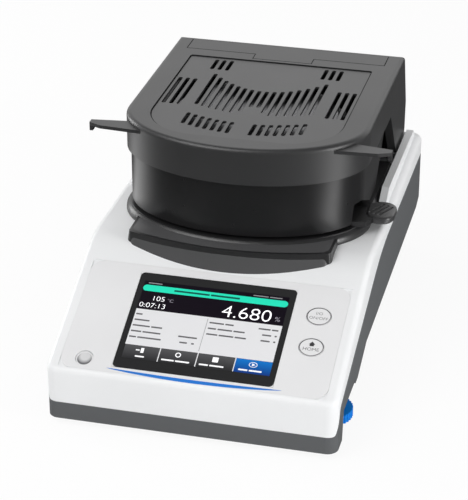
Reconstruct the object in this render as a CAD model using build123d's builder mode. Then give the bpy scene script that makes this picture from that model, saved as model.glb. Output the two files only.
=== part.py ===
from build123d import *
import os
from math import cos, radians, sin, tan

os.makedirs("parts", exist_ok=True)

# A halogen moisture analyzer: a weighing instrument with a wedge shaped housing and a
# heating chamber under a hinged, vented lid. All sizes are in millimetres.
# X points to the object's right, Y to its rear and Z up. The origin is the middle of
# the outline on the bench, under the feet.

# Housing
width = 208.0
depth = 340.0
lid_top = 175.0
foot_gap = 5.0
wall = 3.0
corner_radius = 8.0
edge_radius = 4.5
clearance = 0.3
running_gap = 0.05

# Sloped control panel
panel_angle = 24.0
nose_height = 44.5
deck_height = 96.0
ledge_rise = 5.0
ledge_run = 120.0

# Parting line between the white cover and the dark case
seam_front = 18.3
seam_corner = 37.0
seam_angle = 17.9
seam_rear = 85.0

# Underside of the dark case
front_block = 20.0
notch_end = 56.0
notch_height = 27.0
skirt_low = 24.0
skirt_high = 36.0
skirt_rear = 42.0
tub_half = 84.0
tub_inset = 6.0
tub_top = 48.0

# Rear deck
ridge_height = 108.0
ridge_width = 5.5
floor_height = 95.0
floor_half = 93.0

# Lid
lid_half = 91.0
lid_nose = 61.0
lid_wall = 2.6
lid_top_wall = 4.6
rim_height = 27.5
lid_edge = 3.5
lid_lean = 9.0
band_bottom = 106.0
band_wall = 2.2
band_seat = 2.4
vent_half = 72.0
vent_front_gap = 18.0
vent_corner = 40.0
vent_sink = 0.8
vent_thickness = 2.0
slot_width = 3.2
slot_pitch = 5.76
cap_thickness = 2.0
cap_half = 79.0
cap_length = 22.5
cap_tab_half = 23.5
cap_tab = 10.5
skirt_inset = 11.0
skirt_wall = 1.5

# Hinge
hinge_from_rear = 30.0
hinge_height = 112.0
pin_radius = 4.0
arm_width = 6.4
arm_radius = 15.0
bridge_radius = 12.0
washer_width = 0.8

bush_radius = 5.5
pin_start = 70.0
arm_run = 54.4
arm_heel_run = 23.4
tail_drop = 15.5

# Inside the lid
band_back = 47.0
notch_width = 26.0
notch_rise = 9.0
skirt_front = 22.0
skirt_back = 125.0
liner_bottom = 150.0
liner_thickness = 1.0
glass_thickness = 3.0
reflector_top = 167.0
socket_width = 20.0
sensor_length = 30.0

# Lid grips
grip_y = -29.0
grip_reach = 111.5
grip_bottom = 168.6
grip_thickness = 2.6
grip_drop = 4.0

# Heating chamber
chamber_from_nose = 85.0
chamber_radius = 62.0
flange_top = 103.5
flange_inset = 1.5
bowl_depth = 15.0
bowl_wall = 2.5
lip_half = 75.0
lip_reach = 12.0
ring_inner = 42.8
ring_outer = 54.0
ring_bottom = 104.4
ring_height = 4.5
pan_radius = 41.5
pan_flange = 46.0
pan_bottom = 105.4
pan_height = 4.6
pan_wall = 0.8
paddle_x = 101.5
paddle_back = 61.3
paddle_half = 10.0
paddle_reach = 20.0
glass_radius = 70.0
lamp_radius = 44.0
lamp_tube = 4.0

# Display, keys and level, placed up the panel from its lower edge
display_half = 57.3
display_height = 84.4
display_up = 50.8
display_thickness = 2.0
screen_half = 53.0
screen_height = 68.6
module_thickness = 6.0
overlay_margin = 8.7
overlay_bottom = 3.4
overlay_top = 99.7
overlay_thickness = 0.8
key_inset = 18.7
key_half_width = 8.7
key_half_height = 7.6
key_up = (45.6, 72.6)
key_travel = 0.5
key_flange = 1.2
level_inset = 16.8
level_up = 12.8
level_radius = 6.5

# Levelling feet
foot_inset = 15.0
foot_back = 47.0
wheel_radius = 17.0
wheel_bottom = 8.0
wheel_height = 6.5
wheel_teeth = 36
stud_radius = 4.0
stud_top = 42.0
pad_radius = 8.0
pad_height = 4.0
rear_foot_radius = 9.0
rear_foot_x = 70.0
rear_foot_from_rear = 20.0
foot_plug_radius = 3.5

# Inner frame
screw_x = 64.0
bridge_screw_x = 40.0
plate_half = 72.0
plate_front = -96.0
plate_rear = 128.0
board_half = 58.0
board_front = -152.0
board_rear = -100.0
post_radius = 4.0
board_thickness = 1.6
plate_bottom = 14.0
plate_thickness = 3.0
cell_size = (62.0, 96.0, 34.0)
shaft_radius = 4.0
screw_radius = 1.5
screw_head = 3.2
screw_head_height = 2.0
screw_bite = 8.0
boss_meet = 30.0
case_head_up = 6.0
board_bottom = 20.0

# Connectors in the rear wall
port_height = 66.0
inlet_x = -60.0
inlet_width = 28.0
inlet_height = 20.5
serial_x = 35.0
serial_width = 19.0
serial_height = 9.5
usb_x = 68.0
usb_width = 12.6
usb_height = 11.4

half = width / 2
front = -depth / 2
rear = depth / 2
tub_floor = foot_gap + wall
rim_bottom = lid_top - rim_height
slope = tan(radians(panel_angle))
deck_start = front + (deck_height - nose_height) / slope
lid_front = deck_start - 6.0
lid_curve_y = lid_front + lid_nose
chamber_y = lid_front + chamber_from_nose
hinge_y = rear - hinge_from_rear
lid_rear = hinge_y + 2.0
overlay_half = half - overlay_margin
foot_x = half - foot_inset
foot_y = front + foot_back
rear_foot_y = rear - rear_foot_from_rear
key_x = overlay_half - key_inset
level_x = -(overlay_half - level_inset)
key_half_sizes = (key_half_width, key_half_height)
panel_normal = (0, -sin(radians(panel_angle)), cos(radians(panel_angle)))
panel = Plane(origin=(0, front, nose_height), x_dir=(1, 0, 0), z_dir=panel_normal)
corner_screws = [(x, y) for x in (-screw_x, screw_x) for y in (front + 12, rear - 34)]
board_posts = [(x, y) for x in (-board_half + 6, board_half - 6) for y in (board_front + 8, board_rear - 6)]
plate_posts = [(x, y) for x in (-plate_half + 7, plate_half - 7) for y in (-60, 60)]
bridge_screws = [(x, hinge_y) for x in (-bridge_screw_x, bridge_screw_x)]
lid_screws_at = [(x, y) for x in (-73, 73) for y in (80,)] + [(-66, -25), (66, -25)]


def save(piece, name):
    """Label a finished part and write it as a STEP file."""
    piece.part.label = name
    export_step(piece.part, f"parts/{name}.step")


def housing_block(inset):
    """The wedge shaped outer form of the housing, made smaller all round by inset."""
    with BuildPart() as block:
        with BuildSketch(Plane.XY):
            RectangleRounded(width - 2 * inset, depth - 2 * inset, corner_radius - inset)
        extrude(amount=lid_top)
        with BuildSketch(Plane.YZ):
            with BuildLine():
                top = FilletPolyline(
                    (front - 10, nose_height - 10 * slope),
                    (deck_start, deck_height),
                    (rear - ledge_run, deck_height),
                    (rear + 10, deck_height + ledge_rise),
                    radius=[60, 200],
                )
                Polyline(top @ 1, (rear + 10, -60), (front - 10, -60), top @ 0)
            make_face()
            offset(amount=-inset)
        extrude(amount=width, both=True, mode=Mode.INTERSECT)
    return block.part


def seam_region(above):
    """Everything above or below the parting line, which sweeps up at the front corners."""
    corner_y = front + 11
    level_y = corner_y + (seam_rear - seam_corner) / tan(radians(seam_angle))
    far = lid_top if above else -10
    with BuildPart() as region:
        with BuildSketch(Plane.YZ):
            with BuildLine():
                seam = FilletPolyline(
                    (front - 5, seam_front),
                    (front + 3, seam_front),
                    (corner_y, seam_corner),
                    (level_y, seam_rear),
                    (rear + 5, seam_rear),
                    radius=[2, 6, 180],
                )
                Polyline(seam @ 1, (rear + 5, far), (front - 5, far), seam @ 0)
            make_face()
        extrude(amount=width, both=True)
    return region.part


def skirt_region(lift):
    """Everything above the lower edge of the dark case, with the edge raised by lift."""
    notch_y = front + front_block
    end_y = front + notch_end
    with BuildPart() as region:
        with BuildSketch(Plane.YZ):
            with BuildLine():
                Polyline(
                    (front - 5, foot_gap + lift),
                    (notch_y - lift, foot_gap + lift),
                    (notch_y - lift + 4, notch_height + lift),
                    (end_y + lift, notch_height + lift),
                    (end_y + lift + 2, skirt_low + lift),
                    (end_y + 18, skirt_low + lift),
                    (end_y + 50, skirt_high + lift),
                    (rear - 20, skirt_rear + lift),
                    (rear + 5, skirt_rear + 8 + lift),
                    (rear + 5, lid_top),
                    (front - 5, lid_top),
                    close=True,
                )
            make_face()
        extrude(amount=width, both=True)
    return region.part


def case_hollow():
    """The space inside the dark case: the housing's inside and the narrower tub below it."""
    with BuildPart() as hollow:
        add(housing_block(wall))
        add(skirt_region(wall), mode=Mode.INTERSECT)
        with BuildSketch(Plane.XY.offset(tub_floor)):
            RectangleRounded(2 * (tub_half - wall), depth - 2 * (tub_inset + wall), corner_radius - wall)
        extrude(amount=lid_top)
    return hollow.part


def lid_outline(inset, back, height):
    """Plan of the lid: half an ellipse at the front with straight sides to the rear."""
    side = lid_half - inset
    with BuildSketch(Plane.XY.offset(height)) as outline:
        with Locations((0, lid_curve_y)):
            Ellipse(side, lid_nose - inset)
        with Locations((0, (lid_curve_y + back) / 2)):
            Rectangle(2 * side, back - lid_curve_y)
    return outline.sketch


def lid_block(inset, bottom, top):
    """The lid's outer form above its rim, with the leaning rear wall."""
    lean = lid_lean / rim_height
    with BuildPart() as block:
        with BuildSketch(Plane.XY.offset(bottom)):
            add(lid_outline(inset, rear, 0))
        extrude(amount=top - bottom)
        with BuildSketch(Plane.YZ):
            with BuildLine():
                Polyline(
                    (front, bottom - 1),
                    (lid_rear - inset + lean * (lid_top - bottom + 1), bottom - 1),
                    (lid_rear - inset - lean * (top + 1 - lid_top), top + 1),
                    (front, top + 1),
                    close=True,
                )
            make_face()
        extrude(amount=width, both=True, mode=Mode.INTERSECT)
    return block.part


def vent_outline(inset):
    """Plan of the vent plate: square rear corners and large round front corners."""
    y_front = lid_front + vent_front_gap + inset
    y_rear = lid_rear - cap_length - cap_tab - 3.0 - inset
    with BuildSketch(Plane.XY) as outline:
        with Locations((0, (y_front + y_rear) / 2)):
            Rectangle(2 * (vent_half - inset), y_rear - y_front)
        fillet(outline.vertices().group_by(Axis.Y)[0], radius=vent_corner - inset)
        fillet(outline.vertices().group_by(Axis.Y)[-1], radius=2)
    return outline.sketch


def cap_outline(gap):
    """Plan of the cap behind the vents, with the tab that points to the front."""
    y_rear = lid_rear - lid_edge + gap
    y_front = lid_rear - cap_length - gap
    with BuildSketch(Plane.XY) as outline:
        with Locations((0, (y_front + y_rear) / 2)):
            Rectangle(2 * (cap_half + gap), y_rear - y_front)
        with Locations((0, y_front - cap_tab / 2 + 1)):
            Rectangle(2 * (cap_tab_half + gap), cap_tab + 2)
    return outline.sketch


def lid_slots():
    """Every vent slot as (x, y of its front end, y of its rear end)."""
    slots = []
    back = lid_rear - 60.0
    for side in (-1, 1):
        for step in range(3):
            slots.append((side * (37.5 + 5.9 * step), back, back + 20.0))
            slots.append((side * (55.9 + 5.8 * step), back - 72.0, back - 21.0))
        for step in range(7):
            x = 8.5 + 5.85 * step
            crown = back - 95.0 + 0.0052 * x * x
            slots.append((side * x, crown - 20.0, crown))
    for step in range(16):
        x = (step - 7.5) * slot_pitch
        low = back - 79.0 + 0.0054 * x * x
        if abs(x) < 10:
            low = back - 60.0 - 1.6 * abs(x)
        slots.append((x, low, back - 33.5 + 0.0134 * x * x))
    return slots


# White upper cover
with BuildPart() as upper_case:
    add(housing_block(0))
    outer_rim = [
        edge
        for edge in upper_case.edges()
        if edge.center().Z > nose_height - 2
        and (abs(edge.center().X) > half - corner_radius or abs(edge.center().Y) > rear - 1)
        and abs(edge.tangent_at(0.5).Z) < 0.9
    ]
    fillet(outer_rim, radius=edge_radius)
    add(housing_block(wall), mode=Mode.SUBTRACT)
    # Inner floor under the lid
    with BuildSketch(Plane.XY.offset(floor_height)):
        with Locations((0, (chamber_y + rear - wall) / 2)):
            Rectangle(2 * (floor_half + ridge_width), rear - wall - chamber_y)
    extrude(amount=-wall)
    # Raised ridges beside the lid
    for side in (-1, 1):
        with BuildSketch(Plane.YZ.offset(side * floor_half)) as ridge:
            with BuildLine():
                Polyline(
                    (chamber_y - 4, floor_height - 1),
                    (chamber_y + 20, ridge_height),
                    (rear - 16, ridge_height),
                    (rear - 7, floor_height + 5),
                    (rear - 7, floor_height - 1),
                    close=True,
                )
            make_face()
            fillet(ridge.vertices().group_by(Axis.Y)[1], radius=12)
        extrude(amount=side * ridge_width)
    with BuildSketch(Plane.XY.offset(floor_height)):
        with Locations((0, (chamber_y + rear - 5) / 2)):
            Rectangle(2 * floor_half, rear - 5 - chamber_y)
    extrude(amount=lid_top, mode=Mode.SUBTRACT)
    add(seam_region(True), mode=Mode.INTERSECT)
    # Bosses that the case screws reach
    with BuildSketch(Plane.XY.offset(boss_meet)):
        with Locations(corner_screws):
            Circle(post_radius + 1)
    extrude(until=Until.NEXT)
    with BuildSketch(Plane.XY.offset(boss_meet)):
        with Locations(corner_screws):
            Circle(screw_radius)
    extrude(amount=screw_bite, mode=Mode.SUBTRACT)
    # Holes for the screws that hold the hinge bridge
    with BuildSketch(Plane.XY.offset(floor_height)):
        with Locations(bridge_screws):
            Circle(screw_radius + clearance)
    extrude(amount=-2 * wall, mode=Mode.SUBTRACT)
    # Opening for the heating chamber
    with BuildSketch(Plane.XY.offset(deck_height - 10)):
        add(lid_outline(14, hinge_y - 50, 0))
    extrude(amount=lid_top, mode=Mode.SUBTRACT)
    # Seats in the panel for the overlay and the display, with the window behind it
    overlay_middle = (overlay_bottom + overlay_top) / 2
    with BuildSketch(panel.offset(-overlay_thickness)):
        with Locations((0, overlay_middle)):
            Rectangle(2 * overlay_half + 0.2, overlay_top - overlay_bottom + 0.2)
    extrude(amount=10, mode=Mode.SUBTRACT)
    with BuildSketch(panel.offset(-display_thickness)):
        with Locations((0, display_up)):
            Rectangle(2 * display_half + 0.4, display_height + 0.4)
    extrude(amount=10, mode=Mode.SUBTRACT)
    with BuildSketch(panel.offset(-2 * wall)):
        with Locations((0, display_up)):
            Rectangle(2 * screen_half + 2, screen_height + 2)
        with Locations([(key_x, up) for up in key_up]):
            Ellipse(key_half_width + clearance, key_half_height + clearance)
        with Locations((level_x, level_up)):
            Circle(level_radius)
    extrude(amount=10, mode=Mode.SUBTRACT)

save(upper_case, "upper_case")

# Dark lower case: the flared sides, and the narrower tub that stands on the feet
with BuildPart() as lower_case:
    add(housing_block(0))
    add(skirt_region(0), mode=Mode.INTERSECT)
    with BuildSketch(Plane.XY.offset(foot_gap)) as tub:
        RectangleRounded(2 * tub_half, depth - 2 * tub_inset, corner_radius)
    extrude(amount=tub_top - foot_gap)
    add(case_hollow(), mode=Mode.SUBTRACT)
    # Pockets round the levelling wheels
    for side in (-1, 1):
        inner_x = foot_x - wheel_radius - 2 - wall
        with BuildSketch(Plane.XY.offset(foot_gap)):
            with Locations((side * (inner_x + tub_half) / 2, foot_y)):
                Rectangle(tub_half - inner_x, 2 * (wheel_radius + wall + 2))
        extrude(amount=notch_height + wall - foot_gap)
        with BuildSketch(Plane.XY.offset(notch_height)):
            with Locations((side * foot_x, foot_y)):
                Circle(stud_radius + 4)
        extrude(amount=12)
        with BuildSketch(Plane.XY):
            with Locations((side * (inner_x + wall + half) / 2, foot_y)):
                Rectangle(half - inner_x - wall, 2 * (wheel_radius + 2))
        extrude(amount=notch_height, mode=Mode.SUBTRACT)
        with BuildSketch(Plane.XY):
            with Locations((side * foot_x, foot_y)):
                Circle(stud_radius + running_gap)
        extrude(amount=2 * stud_top, mode=Mode.SUBTRACT)
    add(housing_block(0), mode=Mode.INTERSECT)
    add(seam_region(False), mode=Mode.INTERSECT)
    # Posts for the plate, the board and the case screws
    with BuildSketch(Plane.XY.offset(foot_gap)):
        with Locations(corner_screws):
            Circle(post_radius + 1)
    extrude(amount=boss_meet - foot_gap)
    with BuildSketch(Plane.XY.offset(foot_gap)):
        with Locations(corner_screws):
            Circle(screw_radius + clearance)
    extrude(amount=boss_meet, mode=Mode.SUBTRACT)
    with BuildSketch(Plane.XY.offset(foot_gap)):
        with Locations(corner_screws):
            Circle(screw_head + clearance)
    extrude(amount=case_head_up + screw_head_height, mode=Mode.SUBTRACT)
    with BuildSketch(Plane.XY.offset(tub_floor)):
        with Locations(plate_posts):
            Circle(post_radius)
    extrude(amount=plate_bottom - tub_floor)
    with BuildSketch(Plane.XY.offset(tub_floor)):
        with Locations(board_posts):
            Circle(post_radius - 1)
    extrude(amount=board_bottom - tub_floor)
    with BuildSketch(Plane.XY.offset(tub_floor)):
        with Locations(plate_posts + board_posts):
            Circle(screw_radius)
    extrude(amount=lid_top, mode=Mode.SUBTRACT)
    # Holes for the rear feet
    with BuildSketch(Plane.XY):
        with Locations([(-rear_foot_x, rear_foot_y), (rear_foot_x, rear_foot_y)]):
            Circle(foot_plug_radius)
    extrude(amount=tub_floor, mode=Mode.SUBTRACT)
    # Openings for the connectors in the rear wall
    with BuildSketch(Plane.XZ.offset(-rear)):
        with Locations((inlet_x, port_height)):
            RectangleRounded(inlet_width, inlet_height, 3)
        with Locations((serial_x, port_height)):
            RectangleRounded(serial_width, serial_height, 2)
        with Locations((usb_x, port_height)):
            Rectangle(usb_width, usb_height)
    extrude(amount=wall + 1, mode=Mode.SUBTRACT)

save(lower_case, "lower_case")

# Printed sheet on the panel, with its large lower corners
with BuildPart() as panel_overlay:
    with BuildSketch(panel.offset(-overlay_thickness)) as sheet:
        with Locations((0, overlay_middle)):
            Rectangle(2 * overlay_half, overlay_top - overlay_bottom)
        fillet(sheet.vertices().group_by(Axis.Z)[0], radius=10)
        fillet(sheet.vertices().group_by(Axis.Z)[-1], radius=2)
        with Locations((0, display_up)):
            Rectangle(2 * display_half + 0.4, display_height + 0.4, mode=Mode.SUBTRACT)
        with Locations([(key_x, up) for up in key_up]):
            Ellipse(key_half_width + clearance, key_half_height + clearance, mode=Mode.SUBTRACT)
        with Locations((level_x, level_up)):
            Circle(level_radius, mode=Mode.SUBTRACT)
    extrude(amount=overlay_thickness)

save(panel_overlay, "panel_overlay")

# Black touch glass with the screen behind it
with BuildPart() as display_glass:
    with BuildSketch(panel.offset(-display_thickness)):
        with Locations((0, display_up)):
            RectangleRounded(2 * display_half, display_height, 2.2)
    extrude(amount=display_thickness)

save(display_glass, "display_glass")

with BuildPart() as display_module:
    module_top = panel.offset(-display_thickness)
    with BuildSketch(module_top):
        with Locations((0, display_up)):
            Rectangle(2 * screen_half, screen_height)
    extrude(amount=-(module_thickness - display_thickness))
    with BuildSketch(panel.offset(-module_thickness)):
        with Locations((0, display_up)):
            Rectangle(2 * screen_half + 6, screen_height + 4)
    extrude(amount=-4)

save(display_module, "display_module")

# Board behind the keys, with a dome switch under each
board_depth = module_thickness + board_thickness
with BuildPart() as key_board:
    with BuildSketch(panel.offset(-board_depth)):
        with Locations((key_x, sum(key_up) / 2)):
            Rectangle(2 * key_half_width + 6, key_up[1] - key_up[0] + 26)
    extrude(amount=board_thickness)
    with BuildSketch(panel.offset(-module_thickness)):
        with Locations([(key_x, up) for up in key_up]):
            Circle(3)
    extrude(amount=0.8)

save(key_board, "key_board")

# The two keys: a cap in the panel and a flange that holds it in
for name, up in zip(("home_key", "power_key"), key_up):
    with BuildPart() as key:
        with BuildSketch(panel.offset(-wall - 0.8)):
            with Locations((key_x, up)):
                Ellipse(*key_half_sizes)
        extrude(amount=wall + 1.0)
        fillet(key.edges().sort_by(Axis.Z)[-1], radius=0.4)
        with BuildSketch(panel.offset(-wall - 0.3 - key_flange)):
            with Locations((key_x, up)):
                Ellipse(key_half_width + 1.5, key_half_height + 1.5)
        extrude(amount=key_flange)
    save(key, name)

# Round bubble level
with BuildPart() as level_body:
    with BuildSketch(panel.offset(-wall - 4)):
        with Locations((level_x, level_up)):
            Circle(level_radius - clearance)
    extrude(amount=wall + 3)
    with BuildSketch(panel.offset(-wall - 2)):
        with Locations((level_x, level_up)):
            Circle(level_radius + 2)
    extrude(amount=2)
    with BuildSketch(panel.offset(-1)):
        with Locations((level_x, level_up)):
            Circle(level_radius - 1.3)
    extrude(amount=-4, mode=Mode.SUBTRACT)

save(level_body, "level_body")

with BuildPart() as level_vial:
    with BuildSketch(panel.offset(-5)):
        with Locations((level_x, level_up)):
            Circle(level_radius - 1.4)
    extrude(amount=4)

save(level_vial, "level_vial")

# Heating chamber base: flange, bowl and the lip over the top of the panel
lip_y = lid_front - lip_reach
def deck_seat():
    """The housing's deck as the chamber base meets it, with the well left open."""
    with BuildPart() as seat:
        add(housing_block(-0.1))
        with BuildSketch(Plane.XY.offset(floor_height + 0.1)):
            with Locations((0, (chamber_y + rear) / 2)):
                Rectangle(2 * floor_half, rear - chamber_y)
        extrude(amount=lid_top, mode=Mode.SUBTRACT)
        with BuildSketch(Plane.XY.offset(60)):
            add(lid_outline(14.5, hinge_y - 50.5, 0))
        extrude(amount=60, mode=Mode.SUBTRACT)
    return seat.part


with BuildPart() as chamber_base:
    with BuildSketch(Plane.XY.offset(floor_height + 1.0)):
        add(lid_outline(flange_inset, hinge_y - 40, 0))
    extrude(amount=flange_top - floor_height - 1.0)
    chamfer(chamber_base.faces().sort_by(Axis.Z)[0].edges(), length=5)
    with BuildSketch(Plane.XY.offset(flange_top - 2.5)) as lip:
        with BuildLine():
            ThreePointArc((-lip_half, lip_y + 13), (0, lip_y), (lip_half, lip_y + 13))
            Polyline((lip_half, lip_y + 13), (lip_half, lid_curve_y - 22), (-lip_half, lid_curve_y - 22),
                     (-lip_half, lip_y + 13))
        make_face()
        fillet(lip.vertices().group_by(Axis.Y)[0], radius=3)
    extrude(amount=-30, taper=-8)
    with BuildSketch(Plane.XY.offset(flange_top - 15 - bowl_wall)):
        with Locations((0, chamber_y)):
            Circle(chamber_radius + bowl_wall)
    extrude(amount=10)
    add(deck_seat(), mode=Mode.SUBTRACT)
    with BuildSketch(Plane.XY.offset(flange_top - bowl_depth)):
        with Locations((0, chamber_y)):
            Circle(chamber_radius)
    extrude(amount=2 * bowl_depth, mode=Mode.SUBTRACT)
    with BuildSketch(Plane.XY.offset(60)):
        with Locations((0, chamber_y)):
            Circle(shaft_radius + 3)
    extrude(amount=60, mode=Mode.SUBTRACT)

save(chamber_base, "chamber_base")

bowl_floor = flange_top - bowl_depth

# Bright dish in the bowl, and the ring that keeps draughts off the pan
with BuildPart() as chamber_dish:
    with BuildSketch(Plane.XY.offset(bowl_floor)):
        with Locations((0, chamber_y)):
            Circle(chamber_radius - clearance)
            Circle(shaft_radius + 3, mode=Mode.SUBTRACT)
    extrude(amount=bowl_depth - 1)
    with BuildSketch(Plane.XY.offset(bowl_floor + 0.8)):
        with Locations((0, chamber_y)):
            Circle(chamber_radius - clearance - 1)
    extrude(amount=bowl_depth, mode=Mode.SUBTRACT)

save(chamber_dish, "chamber_dish")

with BuildPart() as draught_ring:
    with BuildSketch(Plane.XY.offset(bowl_floor + 0.8)):
        with Locations((0, chamber_y)):
            Circle(ring_outer - 3)
            Circle(ring_outer - 4.2, mode=Mode.SUBTRACT)
    extrude(amount=ring_bottom - bowl_floor - 1.1)

save(draught_ring, "draught_ring")

# Pan support: a hub with three arms, on the shaft of the weighing cell
with BuildPart() as pan_support:
    with BuildSketch(Plane.XY.offset(bowl_floor + 5)):
        with Locations((0, chamber_y)):
            Circle(7)
    extrude(amount=5)
    with BuildSketch(Plane.XY.offset(bowl_floor + 7)):
        with Locations((0, chamber_y)):
            with PolarLocations(17, 3, start_angle=90):
                Rectangle(34, 5)
    extrude(amount=2)
    with BuildSketch(Plane.XY.offset(bowl_floor + 7)):
        with Locations((0, chamber_y)):
            with PolarLocations(32, 3, start_angle=90):
                Rectangle(3, 5)
    extrude(amount=pan_bottom - clearance - bowl_floor - 7)
    with BuildSketch(Plane.XY.offset(bowl_floor)):
        with Locations((0, chamber_y)):
            Circle(shaft_radius)
    extrude(amount=8.5, mode=Mode.SUBTRACT)

save(pan_support, "pan_support")

# Sample pan
with BuildPart() as sample_pan:
    with BuildSketch(Plane.XY.offset(pan_bottom)):
        with Locations((0, chamber_y)):
            Circle(pan_radius)
    extrude(amount=pan_height, taper=-8)
    with BuildSketch(Plane.XY.offset(pan_bottom + pan_height - pan_wall)):
        with Locations((0, chamber_y)):
            Circle(pan_flange)
    extrude(amount=pan_wall)
    with BuildSketch(Plane.XY.offset(pan_bottom + pan_wall)):
        with Locations((0, chamber_y)):
            Circle(pan_radius - pan_wall)
    extrude(amount=pan_height, taper=-8, mode=Mode.SUBTRACT)

save(sample_pan, "sample_pan")

# Ribbed paddle at the end of the pan's handle, outside the housing
paddle_y = lid_front + paddle_back
with BuildPart() as paddle:
    with BuildSketch(Plane.XY.offset(ring_bottom - 2)):
        with Locations((paddle_x, paddle_y)):
            RectangleRounded(2 * paddle_half, 2 * paddle_reach, paddle_half - 1)
    extrude(amount=ring_height + 2.2)
    chamfer(paddle.faces().sort_by(Axis.Z)[0].edges(), length=2)
    fillet(paddle.faces().sort_by(Axis.Z)[-1].edges(), radius=1)
    with BuildSketch(Plane.XY.offset(ring_bottom + ring_height + 0.2)):
        for step in (-1, 0, 1):
            with Locations((paddle_x + 1 + 1.5 * step, paddle_y + 8.5 * step)):
                SlotOverall(12, 2.4, rotation=38)
    extrude(amount=-1.4, mode=Mode.SUBTRACT)

# Handle that lifts the pan: a ring round the pan and a neck that carries the paddle
with BuildPart() as pan_handle:
    with BuildSketch(Plane.XY.offset(ring_bottom)):
        with Locations((0, chamber_y)):
            Circle(ring_outer)
        with BuildLine():
            Polyline(
                (ring_inner, chamber_y - 28),
                (paddle_x - paddle_half + 4, paddle_y - 9),
                (paddle_x - paddle_half + 4, paddle_y + 9),
                (ring_inner, chamber_y + 5),
                close=True,
            )
        make_face()
        with Locations((0, chamber_y)):
            Circle(ring_inner, mode=Mode.SUBTRACT)
    extrude(amount=ring_height)
    add(paddle.part)

save(pan_handle, "pan_handle")

# Lid cover: top, rim, rear wall and the two arms that reach the hinge
arm_front = hinge_y - arm_run
arm_heel = (hinge_y - arm_heel_run, hinge_height - 8)
lean_at = lid_lean / rim_height
wall_low = rim_bottom - tail_drop
with BuildPart() as lid_cover:
    add(lid_block(0, rim_bottom, lid_top))
    fillet(lid_cover.faces().sort_by(Axis.Z)[-1].edges(), radius=lid_edge)
    add(lid_block(lid_wall, rim_bottom - 1, lid_top - lid_top_wall), mode=Mode.SUBTRACT)
    with BuildSketch(Plane.YZ.offset(-lid_half + 1)):
        with BuildLine():
            Polyline(
                (lid_rear + lid_lean, rim_bottom),
                (lid_rear + lid_lean + lean_at * tail_drop, wall_low),
                (lid_rear + lid_lean + lean_at * tail_drop - lid_wall, wall_low),
                (lid_rear + lid_lean - lid_wall, rim_bottom),
                close=True,
            )
        make_face()
    extrude(amount=2 * lid_half - 2)
    for side in (-1, 1):
        with BuildSketch(Plane.YZ.offset(side * (lid_half - arm_width))):
            with BuildLine():
                Polyline(
                    (arm_front, lid_top - lid_top_wall),
                    (arm_front, rim_bottom),
                    arm_heel,
                    (hinge_y, hinge_height - arm_radius),
                    (hinge_y + arm_radius, hinge_height),
                    (lid_rear + lid_lean + lean_at * tail_drop, wall_low),
                    (lid_rear + lid_lean, rim_bottom),
                    (lid_rear + 1, lid_top - lid_top_wall),
                    close=True,
                )
            make_face()
            with Locations((hinge_y, hinge_height)):
                Circle(arm_radius)
        extrude(amount=side * arm_width)
        # Blind bore for the bush, from the inside
        with BuildSketch(Plane.YZ.offset(side * (lid_half - arm_width))):
            with Locations((hinge_y, hinge_height)):
                Circle(bush_radius)
        extrude(amount=side * (arm_width - 1), mode=Mode.SUBTRACT)
    # Bosses that take the screws of the liner
    with BuildSketch(Plane.XY.offset(liner_bottom + liner_thickness)):
        with Locations(lid_screws_at):
            Circle(post_radius)
    extrude(amount=lid_top - lid_top_wall - liner_bottom - liner_thickness)
    with BuildSketch(Plane.XY.offset(liner_bottom + liner_thickness)):
        with Locations(lid_screws_at):
            Circle(screw_radius)
    extrude(amount=screw_bite, mode=Mode.SUBTRACT)
    # Seats for the vent plate and the rear cap
    with BuildSketch(Plane.XY.offset(lid_top - vent_sink - vent_thickness)):
        add(vent_outline(0))
    extrude(amount=lid_top, mode=Mode.SUBTRACT)
    with BuildSketch(Plane.XY.offset(lid_top - 2 * lid_top_wall)):
        add(vent_outline(4))
    extrude(amount=lid_top, mode=Mode.SUBTRACT)
    with BuildSketch(Plane.XY.offset(lid_top - cap_thickness)):
        add(cap_outline(0.15))
    extrude(amount=lid_top, mode=Mode.SUBTRACT)

save(lid_cover, "lid_cover")

# Vent plate with its pattern of slots
with BuildPart() as vent_plate:
    with BuildSketch(Plane.XY.offset(lid_top - vent_sink - vent_thickness)):
        add(vent_outline(0.15))
        for x, y_front, y_rear in lid_slots():
            with Locations((x, (y_front + y_rear) / 2)):
                SlotOverall(y_rear - y_front, slot_width, rotation=90, mode=Mode.SUBTRACT)
    extrude(amount=vent_thickness)

save(vent_plate, "vent_plate")

with BuildPart() as rear_cap:
    with BuildSketch(Plane.XY.offset(lid_top - cap_thickness)):
        add(cap_outline(0))
    extrude(amount=cap_thickness)

save(rear_cap, "rear_cap")

# Glossy band round the front of the chamber, cut back on a slope towards the hinge
band_inset = lid_wall + clearance
band_top = rim_bottom + band_seat
slope_back = (arm_front - band_back) / (rim_bottom - band_bottom)
with BuildPart() as lid_band:
    with BuildSketch(Plane.XY.offset(band_bottom)):
        add(lid_outline(band_inset, arm_front + 10, 0))
        add(lid_outline(band_inset + band_wall, arm_front + 20, 0), mode=Mode.SUBTRACT)
    extrude(amount=band_top - band_bottom)
    with BuildSketch(Plane.YZ):
        with BuildLine():
            Polyline(
                (front, band_bottom - 1),
                (band_back - slope_back - 1, band_bottom - 1),
                (arm_front - 1, rim_bottom),
                (arm_front - 1, band_top + 1),
                (front, band_top + 1),
                close=True,
            )
        make_face()
    extrude(amount=width, both=True, mode=Mode.INTERSECT)
    with BuildSketch(Plane.YZ.offset(lid_half / 2)) as notch:
        with Locations((paddle_y + 2, band_bottom)):
            Rectangle(notch_width, 2 * notch_rise)
        fillet(notch.vertices().group_by(Axis.Z)[-1], radius=4)
    extrude(amount=lid_half, mode=Mode.SUBTRACT)

save(lid_band, "lid_band")

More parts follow.
